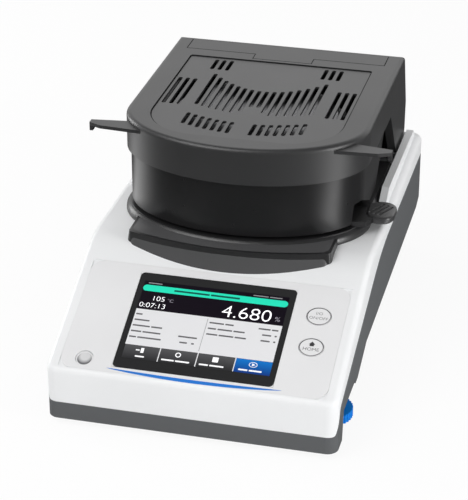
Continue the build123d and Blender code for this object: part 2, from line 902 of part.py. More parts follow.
# Dark inner wall behind the band, beside the chamber
with BuildPart() as lid_skirt:
    for side in (-1, 1):
        with BuildSketch(Plane.YZ.offset(side * (lid_half - skirt_inset))):
            with BuildLine():
                Polyline(
                    (skirt_front, band_bottom + 1),
                    (skirt_back, band_bottom + 1),
                    (skirt_back, liner_bottom),
                    (skirt_front, liner_bottom),
                    close=True,
                )
            make_face()
        extrude(amount=-side * skirt_wall)
    with BuildSketch(Plane.XY.offset(band_bottom + 1)):
        with Locations((0, skirt_back - skirt_wall / 2)):
            Rectangle(2 * (lid_half - skirt_inset), skirt_wall)
    extrude(amount=liner_bottom - band_bottom - 1)

save(lid_skirt, "lid_skirt")

# Slim grips on both sides of the lid
for name, side in (("lid_handle_left", -1), ("lid_handle_right", 1)):
    with BuildPart() as lid_handle:
        with BuildSketch(Plane.XY.offset(grip_bottom)):
            with BuildLine():
                Polyline(
                    (side * 60, grip_y - 9),
                    (side * (grip_reach - 9), grip_y - 6),
                    (side * grip_reach, grip_y - 2),
                    (side * grip_reach, grip_y + 3),
                    (side * (lid_half - 10), grip_y + 7),
                    (side * 60, grip_y + 7),
                    close=True,
                )
            make_face()
        extrude(amount=grip_thickness)
        with BuildSketch(Plane.XY.offset(grip_bottom)):
            with Locations((side * (grip_reach - 1.2), grip_y + 0.5)):
                Rectangle(2.4, 5)
        extrude(amount=-grip_drop)
        with BuildSketch(Plane.XY.offset(rim_bottom)):
            add(lid_outline(0, hinge_y, 0))
        extrude(amount=rim_height, mode=Mode.SUBTRACT)
    save(lid_handle, name)

# Metal liner that closes the lid from below, with the window over the pan
with BuildPart() as lid_liner:
    with BuildSketch(Plane.XY.offset(liner_bottom)):
        add(lid_outline(band_inset, arm_front - 1, 0))
        with Locations((0, (arm_front + skirt_back) / 2)):
            Rectangle(2 * (lid_half - arm_width - clearance), skirt_back - arm_front + 2)
        with Locations((0, chamber_y)):
            Circle(glass_radius - 4, mode=Mode.SUBTRACT)
        with Locations(lid_screws_at):
            Circle(screw_radius + clearance, mode=Mode.SUBTRACT)
    extrude(amount=liner_thickness)

save(lid_liner, "lid_liner")

glass_bottom = liner_bottom + liner_thickness
with BuildPart() as glass_plate:
    with BuildSketch(Plane.XY.offset(glass_bottom)):
        with Locations((0, chamber_y)):
            Circle(glass_radius)
    extrude(amount=glass_thickness)

save(glass_plate, "glass_plate")

with BuildPart() as glass_ring:
    with BuildSketch(Plane.XY.offset(glass_bottom)):
        with Locations((0, chamber_y)):
            Circle(glass_radius + 3)
            Circle(glass_radius + clearance, mode=Mode.SUBTRACT)
    extrude(amount=glass_thickness + 0.5)

save(glass_ring, "glass_ring")

# Reflector over the lamp, standing on the glass ring
reflector_bottom = glass_bottom + glass_thickness + 0.5
with BuildPart() as reflector:
    with BuildSketch(Plane.XZ.offset(-chamber_y)):
        with BuildLine():
            Polyline(
                (0, reflector_top - 1),
                (glass_radius - 10, reflector_top - 1),
                (glass_radius - 2, reflector_bottom),
                (glass_radius + 3, reflector_bottom),
                (glass_radius + 3, reflector_bottom + 1),
                (glass_radius - 1.3, reflector_bottom + 1),
                (glass_radius - 9.3, reflector_top),
                (0, reflector_top),
                close=True,
            )
        make_face()
    revolve(axis=Axis((0, chamber_y, 0), (0, 0, 1)))

save(reflector, "reflector")

# Ring shaped halogen lamp, and the ceramic socket that holds its two ends
lamp_height = (reflector_bottom + reflector_top) / 2
socket_y = chamber_y + lamp_radius
with BuildPart() as lamp_socket:
    with BuildSketch(Plane.XY.offset(reflector_top - 1)):
        with Locations((0, socket_y)):
            Rectangle(socket_width, 4 * lamp_tube)
    extrude(amount=-(reflector_top - 1 - lamp_height + lamp_tube + 0.5))

save(lamp_socket, "lamp_socket")

with BuildPart() as halogen_lamp:
    with BuildSketch(Plane.XZ.offset(-chamber_y)):
        with Locations((lamp_radius, lamp_height)):
            Circle(lamp_tube)
            Circle(lamp_tube - 1, mode=Mode.SUBTRACT)
    revolve(axis=Axis((0, chamber_y, 0), (0, 0, 1)))
    with BuildSketch(Plane.XY.offset(reflector_bottom)):
        with Locations((0, socket_y)):
            Rectangle(socket_width, 6 * lamp_tube)
    extrude(amount=lid_top, mode=Mode.SUBTRACT)

save(halogen_lamp, "halogen_lamp")

# Thin probe that reads the temperature under the glass
with BuildPart() as temperature_sensor:
    with BuildSketch(Plane.XY.offset(liner_bottom)):
        with Locations((0, chamber_y + glass_radius)):
            Circle(3)
    extrude(amount=-3.5)
    with BuildSketch(Plane.XZ.offset(-(chamber_y + glass_radius))):
        with Locations((0, liner_bottom - 2)):
            Circle(1.2)
    extrude(amount=sensor_length)

save(temperature_sensor, "temperature_sensor")

# Hinge: the bridge on the housing, its pins, and the washers and bushes at the arms
bridge_half = lid_half - arm_width - washer_width - 0.2
with BuildPart() as hinge_bridge:
    with BuildSketch(Plane.YZ.offset(-bridge_half)):
        with BuildLine():
            Polyline(
                (hinge_y - bridge_radius - 1.5, floor_height),
                (hinge_y + bridge_radius + 1.5, floor_height),
                (hinge_y + bridge_radius, hinge_height),
                (hinge_y - bridge_radius, hinge_height),
                close=True,
            )
        make_face()
        with Locations((hinge_y, hinge_height)):
            Circle(bridge_radius)
    extrude(amount=2 * bridge_half)
    for side in (-1, 1):
        with BuildSketch(Plane.YZ.offset(side * pin_start)):
            with Locations((hinge_y, hinge_height)):
                Circle(pin_radius)
        extrude(amount=side * lid_half, mode=Mode.SUBTRACT)
    with BuildSketch(Plane.XY.offset(floor_height)):
        with Locations(bridge_screws):
            Circle(screw_radius)
    extrude(amount=screw_bite, mode=Mode.SUBTRACT)

save(hinge_bridge, "hinge_bridge")

with BuildPart() as hinge_pins:
    for side in (-1, 1):
        with BuildSketch(Plane.YZ.offset(side * pin_start)):
            with Locations((hinge_y, hinge_height)):
                Circle(pin_radius)
        extrude(amount=side * (lid_half - 1.3 - pin_start))

save(hinge_pins, "hinge_pins")

with BuildPart() as hinge_washers:
    for side in (-1, 1):
        with BuildSketch(Plane.YZ.offset(side * (bridge_half + 0.1))):
            with Locations((hinge_y, hinge_height)):
                Circle(2 * pin_radius)
                Circle(pin_radius + running_gap, mode=Mode.SUBTRACT)
        extrude(amount=side * washer_width)

save(hinge_washers, "hinge_washers")

with BuildPart() as hinge_bushes:
    for side in (-1, 1):
        with BuildSketch(Plane.YZ.offset(side * (lid_half - arm_width))):
            with Locations((hinge_y, hinge_height)):
                Circle(bush_radius)
                Circle(pin_radius + running_gap, mode=Mode.SUBTRACT)
        extrude(amount=side * (arm_width - 1))

save(hinge_bushes, "hinge_bushes")

# Levelling feet: a stud with a rubber pad, and the wheel that turns on it
for name, side in (("left", -1), ("right", 1)):
    with BuildPart() as foot_stud:
        with BuildSketch(Plane.XY.offset(pad_height)):
            with Locations((side * foot_x, foot_y)):
                Circle(stud_radius)
        extrude(amount=stud_top - pad_height)
        with BuildSketch(Plane.XY.offset(pad_height)):
            with Locations((side * foot_x, foot_y)):
                Circle(stud_radius + 2)
        extrude(amount=wheel_bottom - pad_height - 0.1)
    save(foot_stud, f"foot_stud_{name}")
    with BuildPart() as foot_pad:
        with BuildSketch(Plane.XY):
            with Locations((side * foot_x, foot_y)):
                Circle(pad_radius)
        extrude(amount=pad_height)
        chamfer(foot_pad.faces().sort_by(Axis.Z)[0].edges(), length=0.8)
    save(foot_pad, f"foot_pad_{name}")
    with BuildPart() as foot_wheel:
        with BuildSketch(Plane.XY.offset(wheel_bottom)):
            with Locations((side * foot_x, foot_y)):
                Circle(wheel_radius)
                with PolarLocations(wheel_radius + 0.3, wheel_teeth):
                    Circle(1.0, mode=Mode.SUBTRACT)
                Circle(stud_radius + running_gap, mode=Mode.SUBTRACT)
        extrude(amount=wheel_height)
    save(foot_wheel, f"foot_wheel_{name}")

with BuildPart() as rear_feet:
    with BuildSketch(Plane.XY):
        with Locations([(-rear_foot_x, rear_foot_y), (rear_foot_x, rear_foot_y)]):
            Circle(rear_foot_radius)
    extrude(amount=foot_gap)
    chamfer(rear_feet.faces().group_by(Axis.Z)[0].edges(), length=0.8)
    with BuildSketch(Plane.XY.offset(foot_gap)):
        with Locations([(-rear_foot_x, rear_foot_y), (rear_foot_x, rear_foot_y)]):
            Circle(foot_plug_radius)
    extrude(amount=wall)

save(rear_feet, "rear_feet")

# Steel plate that carries the weighing cell and the power supply
plate_top = plate_bottom + plate_thickness
with BuildPart() as chassis_plate:
    with BuildSketch(Plane.XY.offset(plate_bottom)):
        with Locations((0, (plate_front + plate_rear) / 2)):
            RectangleRounded(2 * plate_half, plate_rear - plate_front, 4)
        with Locations(plate_posts):
            Circle(screw_radius + clearance, mode=Mode.SUBTRACT)
    extrude(amount=plate_thickness)

save(chassis_plate, "chassis_plate")

# Weighing cell: a block with the openings that leave two bending beams
cell_width, cell_length, cell_height = cell_size
with BuildPart() as weighing_cell:
    with BuildSketch(Plane.XY.offset(plate_top)):
        with Locations((0, chamber_y)):
            Rectangle(cell_width, cell_length)
    extrude(amount=cell_height)
    with BuildSketch(Plane.YZ.offset(-cell_width)):
        with Locations((chamber_y, plate_top + cell_height / 2)):
            RectangleRounded(cell_length - 40, cell_height - 14, 4)
        for end in (-1, 1):
            with Locations((chamber_y + end * (cell_length / 2 - 14), plate_top + cell_height / 2)):
                SlotOverall(cell_height - 8, 5, rotation=90)
    extrude(amount=2 * cell_width, mode=Mode.SUBTRACT)

save(weighing_cell, "weighing_cell")

cell_top = plate_top + cell_height
with BuildPart() as load_shaft:
    with BuildSketch(Plane.XY.offset(cell_top)):
        with Locations((0, chamber_y)):
            Circle(2.5 * shaft_radius)
    extrude(amount=4)
    with BuildSketch(Plane.XY.offset(cell_top)):
        with Locations((0, chamber_y)):
            Circle(shaft_radius)
    extrude(amount=bowl_floor + 8.5 - cell_top)

save(load_shaft, "load_shaft")

# Main board on its posts, with its larger components
with BuildPart() as main_board:
    with BuildSketch(Plane.XY.offset(board_bottom)):
        with Locations((0, (board_front + board_rear) / 2)):
            Rectangle(2 * board_half, board_rear - board_front)
        with Locations(board_posts):
            Circle(screw_radius, mode=Mode.SUBTRACT)
    extrude(amount=board_thickness)
    with BuildSketch(Plane.XY.offset(board_bottom + board_thickness)):
        with Locations((-14, (board_front + board_rear) / 2)):
            Rectangle(16, 16)
        with Locations((12, board_rear - 16)):
            Rectangle(12, 8)
    extrude(amount=2)
    with BuildSketch(Plane.XY.offset(board_bottom + board_thickness)):
        with Locations((30, board_front + 14)):
            Rectangle(20, 6)
    extrude(amount=8)

save(main_board, "main_board")

# Power supply: a board on spacers, with a transformer and two capacitors
supply_bottom = plate_top + 5
supply_y = plate_rear - 25
with BuildPart() as power_supply:
    with BuildSketch(Plane.XY.offset(supply_bottom)):
        with Locations((0, supply_y)):
            Rectangle(110, 44)
    extrude(amount=board_thickness)
    with BuildSketch(Plane.XY.offset(plate_top)):
        with Locations([(x, supply_y + y) for x in (-50, 50) for y in (-17, 17)]):
            Circle(3)
    extrude(amount=5)
    with BuildSketch(Plane.XY.offset(supply_bottom + board_thickness)):
        with Locations((-20, supply_y)):
            Rectangle(42, 36)
    extrude(amount=28)
    with BuildSketch(Plane.XY.offset(supply_bottom + board_thickness)):
        with Locations((22, supply_y), (40, supply_y)):
            Circle(8)
    extrude(amount=25)

save(power_supply, "power_supply")

# Connectors in the rear wall
with BuildPart() as power_inlet:
    with BuildSketch(Plane.XZ.offset(-rear + 0.5)):
        with Locations((inlet_x, port_height)):
            RectangleRounded(inlet_width - 0.4, inlet_height - 0.4, 2.8)
    extrude(amount=20)
    with BuildSketch(Plane.XZ.offset(-rear + wall)):
        with Locations((inlet_x, port_height)):
            RectangleRounded(inlet_width + 8, inlet_height + 6, 3)
    extrude(amount=2)
    with BuildSketch(Plane.XZ.offset(-rear + 0.5)):
        with Locations((inlet_x, port_height)):
            RectangleRounded(inlet_width - 4, inlet_height - 4, 2)
    extrude(amount=15, mode=Mode.SUBTRACT)
    with BuildSketch(Plane.XZ.offset(-rear + 15.5)):
        with Locations([(inlet_x + x, port_height + z) for x, z in ((-7, -2), (0, 2), (7, -2))]):
            Rectangle(2, 4)
    extrude(amount=-12)

save(power_inlet, "power_inlet")

with BuildPart() as serial_port:
    with BuildSketch(Plane.XZ.offset(-rear + 0.5)):
        with Locations((serial_x, port_height)):
            RectangleRounded(serial_width - 0.4, serial_height - 0.4, 1.8)
    extrude(amount=10)
    with BuildSketch(Plane.XZ.offset(-rear + wall)):
        with Locations((serial_x, port_height)):
            RectangleRounded(serial_width + 12, serial_height + 3, 1)
    extrude(amount=4)
    with BuildSketch(Plane.XZ.offset(-rear + 0.5)):
        with Locations((serial_x, port_height)):
            RectangleRounded(serial_width - 1.6, serial_height - 1.6, 1.4)
    extrude(amount=6, mode=Mode.SUBTRACT)

save(serial_port, "serial_port")

with BuildPart() as usb_port:
    with BuildSketch(Plane.XZ.offset(-rear + 0.5)):
        with Locations((usb_x, port_height)):
            Rectangle(usb_width - 0.4, usb_height - 0.4)
    extrude(amount=14)
    with BuildSketch(Plane.XZ.offset(-rear + wall)):
        with Locations((usb_x, port_height)):
            Rectangle(usb_width + 3, usb_height + 3)
    extrude(amount=2)
    with BuildSketch(Plane.XZ.offset(-rear + 0.5)):
        with Locations((usb_x, port_height)):
            Rectangle(usb_width - 2, usb_height - 3)
            Rectangle(usb_width - 6, 3, mode=Mode.SUBTRACT)
    extrude(amount=9, mode=Mode.SUBTRACT)

save(usb_port, "usb_port")


def screw_set(name, places, head_height, reach):
    """Pan head screws at the places, with their heads on a face and their shanks up or down."""
    up = 1 if reach > 0 else -1
    with BuildPart() as screws:
        with BuildSketch(Plane.XY.offset(head_height)):
            with Locations(places):
                Circle(screw_head)
        extrude(amount=-up * screw_head_height)
        with BuildSketch(Plane.XY.offset(head_height)):
            with Locations(places):
                Circle(screw_radius)
        extrude(amount=reach)
    save(screws, name)


screw_set("case_screws", corner_screws, foot_gap + case_head_up + screw_head_height,
          boss_meet + screw_bite - 1 - foot_gap - case_head_up - screw_head_height)
screw_set("chassis_screws", plate_posts, plate_top, -7)
screw_set("bridge_screws", bridge_screws, floor_height - wall, wall + screw_bite - 1)
screw_set("lid_screws", lid_screws_at, liner_bottom, liner_thickness + screw_bite - 1)
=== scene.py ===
from math import cos, pi, radians, sin, tan

import bmesh
import bpy
import numpy as np
from bpy.props import FloatProperty, FloatVectorProperty, PointerProperty, StringProperty
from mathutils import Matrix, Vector


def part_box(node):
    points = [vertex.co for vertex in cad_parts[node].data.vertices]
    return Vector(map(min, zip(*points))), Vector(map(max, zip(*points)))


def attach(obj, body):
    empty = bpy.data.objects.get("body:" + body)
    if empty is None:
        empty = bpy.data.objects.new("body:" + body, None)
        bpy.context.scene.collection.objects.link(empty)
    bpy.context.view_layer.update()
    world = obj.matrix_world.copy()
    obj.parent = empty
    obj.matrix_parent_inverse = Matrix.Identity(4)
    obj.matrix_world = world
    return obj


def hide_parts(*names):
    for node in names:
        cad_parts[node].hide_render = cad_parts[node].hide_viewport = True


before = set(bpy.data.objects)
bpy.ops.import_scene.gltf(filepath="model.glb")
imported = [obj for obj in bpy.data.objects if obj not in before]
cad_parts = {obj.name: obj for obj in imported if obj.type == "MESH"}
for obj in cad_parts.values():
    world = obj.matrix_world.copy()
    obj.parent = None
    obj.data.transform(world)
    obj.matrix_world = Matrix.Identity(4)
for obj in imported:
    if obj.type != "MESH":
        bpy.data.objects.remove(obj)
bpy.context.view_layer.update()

bl_info = {
    "name": "Moisture Analyzer",
    "version": (1, 0, 0),
    "blender": (4, 5, 0),
    "location": "View3D > Sidebar > Analyzer",
    "description": "Finishes, display and printed marks of a bench moisture analyzer",
    "category": "Object",
}

MM = 0.001


def box_of(node):
    """Low and high corner of a CAD node's box."""
    low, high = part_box(node)
    return np.array(low), np.array(high)


# Sizes of the control panel, read from the frame where it holds them, and of what is printed on it
PANEL_ANGLE = radians(24)
GLASS_THICKNESS = 2.0 * MM
GLASS_LOW, GLASS_HIGH = box_of("display_glass")
GLASS_FOOT = (0.0, GLASS_LOW[1], GLASS_LOW[2] + GLASS_THICKNESS * cos(PANEL_ANGLE))
GLASS_UP = (GLASS_HIGH[1] - GLASS_LOW[1] - GLASS_THICKNESS * sin(PANEL_ANGLE)) / cos(PANEL_ANGLE)
PRINT_LIFT = 0.02 * MM
PRINT_THICKNESS = 0.04 * MM
PRINT_TOP = PRINT_LIFT + PRINT_THICKNESS
TEXT_STRETCH = 1.12
CAPITAL_HEIGHT = 0.72
TEXT_THINNING = 0.013

# Plan of the lid: half an ellipse at the front, then straight sides
BAND_LOW, BAND_HIGH = box_of("lid_band")
LID_INSET = 2.9 * MM
LID_HALF = BAND_HIGH[0] + LID_INSET
LID_NOSE = 61.0 * MM
LID_FRONT = BAND_LOW[1] - LID_INSET
LID_CURVE = LID_FRONT + LID_NOSE
BAND_WALL = 2.2 * MM

# Band and side walls, from the lid's front: the band's end, the handle's way out and the rear slope
BAND_END = LID_FRONT + 51.3 * MM
GATE_FRONT = LID_FRONT + 39.7 * MM
GATE_RAMP = 3.0 * MM
GATE_REAR = LID_FRONT + 84.0 * MM
GATE_HEIGHT = 15.0 * MM
SLOPE_START = LID_FRONT + 106.3 * MM
SLOPE_LEFT = 2.4 * MM

# Chamber, and how far a piece of the scene stands out of the CAD's face that it covers
CHAMBER_Y = sum(corner[1] for corner in box_of("sample_pan")) / 2
BASE_TOP = box_of("chamber_base")[1][2]
HANDLE_FOOT = box_of("pan_handle")[0][2]
SKIN = 0.03 * MM

# Ribbed paddle of the pan's handle
PADDLE = (99.7 * MM, LID_FRONT + 65.4 * MM)
PADDLE_HALF = (10.7 * MM, 14.6 * MM)
GROOVE_TURN = radians(63)
GROOVE_PITCH = 3.9 * MM
GROOVE_SIDE = (0.4 * MM, 1.1 * MM)
GROOVE_END = (8.0 * MM, 9.0 * MM)
GROOVE_DEPTH = 1.0 * MM

# Places on the display glass: x across, up from the glass's lower edge
SCREEN_HALF = 53.0 * MM
SCREEN_FOOT = 8.7 * MM
SCREEN_TOP = 77.3 * MM
BUTTON_TOP = 20.4 * MM
LIGHT_TOP = 51.9 * MM
BAR_MIDDLE = 71.0 * MM
BAR_HALF_HEIGHT = 2.75 * MM
BUTTON_EDGES = [x * MM for x in (-53.0, -27.0, 0.0, 27.0, 53.0)]
BUTTON_GAP = 0.35 * MM
TITLE_UP = 75.5 * MM
CAPTION_UP = 11.1 * MM
ROW_FIRST = LIGHT_TOP - 4.6 * MM
ROW_PITCH = 5.0 * MM

# Bars that stand for words: where they start in millimetres, their row, and their lengths
TABLE_WORDS = (
    (-52.0, 0, (4.6,)), (-52.0, 1, (11.0,)), (-52.0, 2, (12.5, 8.0)), (-52.0, 3, (7.5, 13.0)),
    (-52.0, 4, (5.0, 17.0)), (1.5, 0, (10.5, 6.0)), (1.5, 1, (6.0, 10.5, 8.0)), (1.5, 2, (8.0, 10.5, 8.0)),
    (-17.5, 3, (13.5,)), (-15.5, 4, (5.5,)), (-7.0, 4, (2.0,)), (37.0, 0, (8.5, 4.6)),
    (40.5, 1, (6.5,)), (49.5, 1, (1.5,)), (40.5, 2, (6.5,)), (49.5, 2, (1.5,)),
)
TITLE_WORDS = ((-50.0, (10.0,)), (27.0, (11.0, 9.0)))
BUTTON_WORDS = ((-43.5, (6.5,)), (-24.5, (9.0, 10.0)), (2.5, (6.5, 10.0)), (30.5, (6.5, 9.0)))

# Middles of the two keys' rings, and the rings' half sizes and line
KEY_X = 76.6 * MM
KEY_UPS = {"power": 64.0 * MM, "home": 37.0 * MM}
KEY_LIFT = 0.2 * MM
KEY_HALF = (8.55 * MM, 7.45 * MM)
KEY_LINE = 0.55 * MM

# Arc printed under the display
ARC_MIDDLE = 1.5 * MM
ARC_REACH = 62.5 * MM
ARC_END = -1.8 * MM
ARC_DROP = 2.4 * MM
ARC_HALF = 1.4 * MM

# Camera, fitted to the photograph, and the lamps: place, target, size, share of their power
CAMERA_PLACE = (0.31409, -1.28890, 0.74903)
CAMERA_DOWN = radians(27.284)
CAMERA_TURN = radians(14.146)
LAMPS = {
    "key_light": ((-1.1, -1.2, 2.0), (0.0, 0.0, 0.08), (1.6, 1.6), "key", 1.0),
    "left_strip": ((-1.2, 0.43, 0.3), (0.0, 0.0, 0.12), (0.25, 0.6), "strips", 1.0),
    "right_strip": ((1.2, -0.43, 0.3), (0.0, 0.0, 0.12), (0.22, 0.6), "strips", 1.5),
}


def linear(red, green, blue):
    """Scene linear colour of a display colour given from 0 to 255, by the sRGB curve."""
    c = np.array([red, green, blue]) / 255
    return tuple(np.where(c <= 0.04045, c / 12.92, ((c + 0.055) / 1.055) ** 2.4))


class Value:
    """A shader socket used in plain arithmetic. Each operator adds the Math node of its name."""

    def __init__(self, finish, socket):
        self.finish = finish
        self.socket = socket

    def math(self, operation, *others):
        sockets = dict(enumerate((self, *others)))
        return self.finish.node("ShaderNodeMath", {"operation": operation}, sockets)

    def __add__(self, other):
        return self.math("ADD", other)

    def __sub__(self, other):
        return self.math("SUBTRACT", other)

    def __rsub__(self, other):
        return self.finish.node("ShaderNodeMath", {"operation": "SUBTRACT"}, {0: other, 1: self})

    def __mul__(self, other):
        return self.math("MULTIPLY", other)

    def __truediv__(self, other):
        return self.math("DIVIDE", other)

    __radd__ = __add__
    __rmul__ = __mul__


class Finish:
    """One material under construction, with its Principled shader."""

    def __init__(self, name, **constants):
        self.material = bpy.data.materials.new(name)
        self.material.use_nodes = True
        self.tree = self.material.node_tree
        self.tree.nodes.clear()
        self.shader = self.node("ShaderNodeBsdfPrincipled")
        self.output = self.node("ShaderNodeOutputMaterial", {}, {"Surface": self.shader})
        self.set(**constants)
        self.place = self.node("ShaderNodeTexCoord").out("Object")

    def node(self, kind, settings=None, sockets=None):
        """Adds a node, sets its settings, then the values or links of its sockets."""
        made = self.tree.nodes.new(kind)
        for name, setting in (settings or {}).items():
            setattr(made, name, setting)
        for key, value in (sockets or {}).items():
            self.join(made.inputs[key], value)
        return Result(self, made)

    def join(self, socket, value):
        """Links a value to a socket, or sets the number or colour on it."""
        if isinstance(value, Value):
            self.tree.links.new(value.socket, socket)
        elif socket.type == "RGBA":
            socket.default_value = (*value, 1.0)
        else:
            socket.default_value = value

    def set(self, **sockets):
        """Sets or links sockets of the shader; a name's underscores stand for spaces."""
        for name, value in sockets.items():
            self.join(self.shader.made.inputs[name.replace("_", " ")], value)

    def noise(self, scale, detail=2.0, stretch=(1.0, 1.0, 1.0)):
        """Noise from 0 to 1 over the object's own coordinates, scale in cells to the metre."""
        mapped = self.node("ShaderNodeMapping", {}, {"Vector": self.place, "Scale": stretch})
        sockets = {"Vector": mapped, "Scale": scale, "Detail": detail}
        return self.node("ShaderNodeTexNoise", {}, sockets)

    def mix(self, factor, first, second):
        """Colour that goes from first to second with the factor."""
        settings = {"data_type": "RGBA"}
        return self.node("ShaderNodeMix", settings, {0: factor, 6: first, 7: second}).out(2)

    def bump(self, height, depth, strength=1.0):
        """Normal of a surface whose height varies by depth metres."""
        sockets = {"Height": height, "Distance": depth, "Strength": strength}
        return self.node("ShaderNodeBump", {}, sockets)

    def axes(self, names):
        """The object's own coordinates of the given names, as values."""
        split = self.node("ShaderNodeSeparateXYZ", {}, {0: self.place})
        return [split.out(name) for name in names]

    def ramp(self, value, start, end, kind="SMOOTHSTEP"):
        """Goes from 0 to 1 while the value goes from start to end, smoothly or in a line."""
        sockets = {0: value, 1: start, 2: end, 3: 0.0, 4: 1.0}
        return self.node("ShaderNodeMapRange", {"interpolation_type": kind}, sockets)

    def glow(self, strength):
        """White light of a strength."""
        return self.node("ShaderNodeEmission", {}, {"Color": (1.0, 1.0, 1.0), "Strength": strength})

    def blend(self, factor, first, second):
        """Shader that goes from first to second with the factor."""
        return self.node("ShaderNodeMixShader", {}, {0: factor, 1: first, 2: second})


class Result(Value):
    """A node just made. It stands for its first output, and gives the others by name."""

    def __init__(self, finish, made):
        self.made = made
        super().__init__(finish, made.outputs[0] if made.outputs else None)

    def out(self, key):
        return Value(self.finish, self.made.outputs[key])


def moulded(name, colour, roughness, grain=900.0, depth=0.03 * MM, specular=0.5):
    """Moulded plastic: a fine grain in the surface, and slow changes of tone and gloss."""
    finish = Finish(name, IOR=1.46, Specular_IOR_Level=specular)
    tone = finish.noise(14.0, 3.0)
    pale = tuple(min(1.0, channel * 1.05) for channel in colour)
    dull = tuple(channel * 0.95 for channel in colour)
    finish.set(Base_Color=finish.mix(tone, dull, pale))
    finish.set(Roughness=roughness - 0.04 + tone * 0.08)
    finish.set(Normal=finish.bump(finish.noise(grain, 2.0), depth, 0.6))
    return finish.material


def polished(name, colour, roughness, coat=0.0, specular=0.5, waves=0.08 * MM):
    """Polished plastic: smooth, with faint flow waves and a trace of dust in its gloss."""
    finish = Finish(name, IOR=1.46, Coat_Weight=coat, Coat_Roughness=0.05, Specular_IOR_Level=specular)
    tone = finish.noise(30.0, 2.0)
    finish.set(Base_Color=finish.mix(tone, colour, tuple(min(1.0, c * 1.12 + 0.001) for c in colour)))
    finish.set(Roughness=roughness + finish.noise(220.0, 3.0) * 0.05)
    finish.set(Normal=finish.bump(finish.noise(16.0, 1.0), waves, 0.25))
    return finish.material


def metal(name, colour, roughness, stretch=(1.0, 1.0, 1.0), scale=300.0):
    """Bare metal: fine drawn or turned lines in its gloss, and a slight change of tone."""
    finish = Finish(name, Metallic=1.0)
    lines = finish.noise(scale, 2.0, stretch)
    finish.set(Base_Color=finish.mix(lines, tuple(0.92 * c for c in colour), colour))
    finish.set(Roughness=roughness + lines * 0.12)
    finish.set(Normal=finish.bump(lines, 0.01 * MM, 0.5))
    return finish.material


def rubber(name, colour):
    """Rubber: dull and very finely pitted."""
    finish = Finish(name, IOR=1.5, Specular_IOR_Level=0.3)
    pits = finish.noise(2200.0, 1.0)
    finish.set(Base_Color=finish.mix(pits, colour, tuple(1.3 * c for c in colour)))
    finish.set(Roughness=0.82 + pits * 0.1)
    finish.set(Normal=finish.bump(pits, 0.04 * MM, 0.7))
    return finish.material


def ribbed(name, colour, roughness):
    """Satin plastic with three slanted grooves in the paddle's top, darkened in colour there as painted
    shade.

    Across the grooves, c = dx sin a - dy cos a; along them, s = dx cos a + dy sin a. A groove
    is where c is near a multiple of the pitch, in the middle three, and s inside its length.
    """
    finish = Finish(name, IOR=1.46, Specular_IOR_Level=0.9)
    x, y = finish.axes("XY")
    dx = x - PADDLE[0]
    dy = y - PADDLE[1]
    across = (dx * sin(GROOVE_TURN) - dy * cos(GROOVE_TURN)) / GROOVE_PITCH + 0.5
    along = (dx * cos(GROOVE_TURN) + dy * sin(GROOVE_TURN)).math("ABSOLUTE")
    fold = (across.math("FRACT") - 0.5).math("ABSOLUTE") * GROOVE_PITCH
    near = 1.0 - finish.ramp(fold, *GROOVE_SIDE, "LINEAR")
    middle = finish.node("ShaderNodeMath", {"operation": "COMPARE"}, {0: across, 1: 0.5, 2: 1.5})
    length = 1.0 - finish.ramp(along, *GROOVE_END, "LINEAR")
    groove = near * middle * length
    # Painted shade: the colour is darkened to 0.45 in the grooves, where shade would fall; the bump and the
    # roughness give their real shape and gloss.
    finish.set(Base_Color=finish.mix(groove, colour, tuple(0.45 * c for c in colour)))
    finish.set(Roughness=roughness + groove * 0.15)
    finish.set(Normal=finish.bump(0.0 - groove, GROOVE_DEPTH))
    return finish.material


def clear(name, colour, ior=1.5):
    """Clear glass or fluid, with a faint film on its surface."""
    finish = Finish(name, IOR=ior, Transmission_Weight=1.0)
    film = finish.noise(60.0, 3.0)
    finish.set(Base_Color=finish.mix(film, colour, tuple(0.96 * c for c in colour)))
    finish.set(Roughness=0.02 + film * 0.03)
    return finish.material


def lit(name, colour, second=None, strength=0.1):
    """A lit patch of the display under its glass: it glows a little and reflects in the glass.

    With a second colour, the patch goes from that at the buttons' foot to the first at their top.
    """
    finish = Finish(name, Coat_Weight=0.15, Coat_Roughness=0.06, Specular_IOR_Level=0.3,
                    Emission_Strength=strength)
    cells = finish.noise(5200.0, 0.0)
    if second:
        y, z = finish.axes("YZ")
        rise = (y - GLASS_FOOT[1]) * cos(PANEL_ANGLE) + (z - GLASS_FOOT[2]) * sin(PANEL_ANGLE)
        shade = finish.mix((rise - SCREEN_FOOT) / (BUTTON_TOP - SCREEN_FOOT), second, colour)
    else:
        shade = finish.mix(cells, tuple(0.94 * c for c in colour), colour)
    finish.set(Base_Color=shade, Emission_Color=shade)
    finish.set(Roughness=0.3 + cells * 0.05)
    return finish.material


def dimple(name, pale, dark):
    """The level's cell: pale, with a dark crescent of painted shade towards its front, which stands in for
    the shading of the cell's dip.

    With dx and dy measured from a point 1.3 mm behind the middle, the painted shade goes from pale to
    dark as dx^2 + dy^2 goes from (0.6 r)^2 to (1.15 r)^2, where r is the cell's radius.
    """
    low, high = box_of("level_vial")
    middle = (low + high) / 2
    radius = (high[0] - low[0]) / 2
    finish = Finish(name, IOR=1.46)
    x, y = finish.axes("XY")
    dx = x - middle[0]
    dy = y - (middle[1] + 1.3 * MM)
    # Painted shade: the colour darkens into a crescent where the dip would lie in shadow.
    shade = finish.ramp(dx * dx + dy * dy, (0.6 * radius) ** 2, (1.15 * radius) ** 2, "LINEAR")
    finish.set(Base_Color=finish.mix(shade, pale, dark))
    finish.set(Roughness=0.15 + finish.noise(300.0) * 0.05)
    return finish.material


def printed(name, colour):
    """Printing ink: flat colour with a very slight mottle."""
    finish = Finish(name, IOR=1.5)
    mottle = finish.noise(1600.0, 1.0)
    finish.set(Base_Color=finish.mix(mottle, colour, tuple(min(1.0, 1.1 * c) for c in colour)))
    finish.set(Roughness=0.45 + mottle * 0.08)
    return finish.material


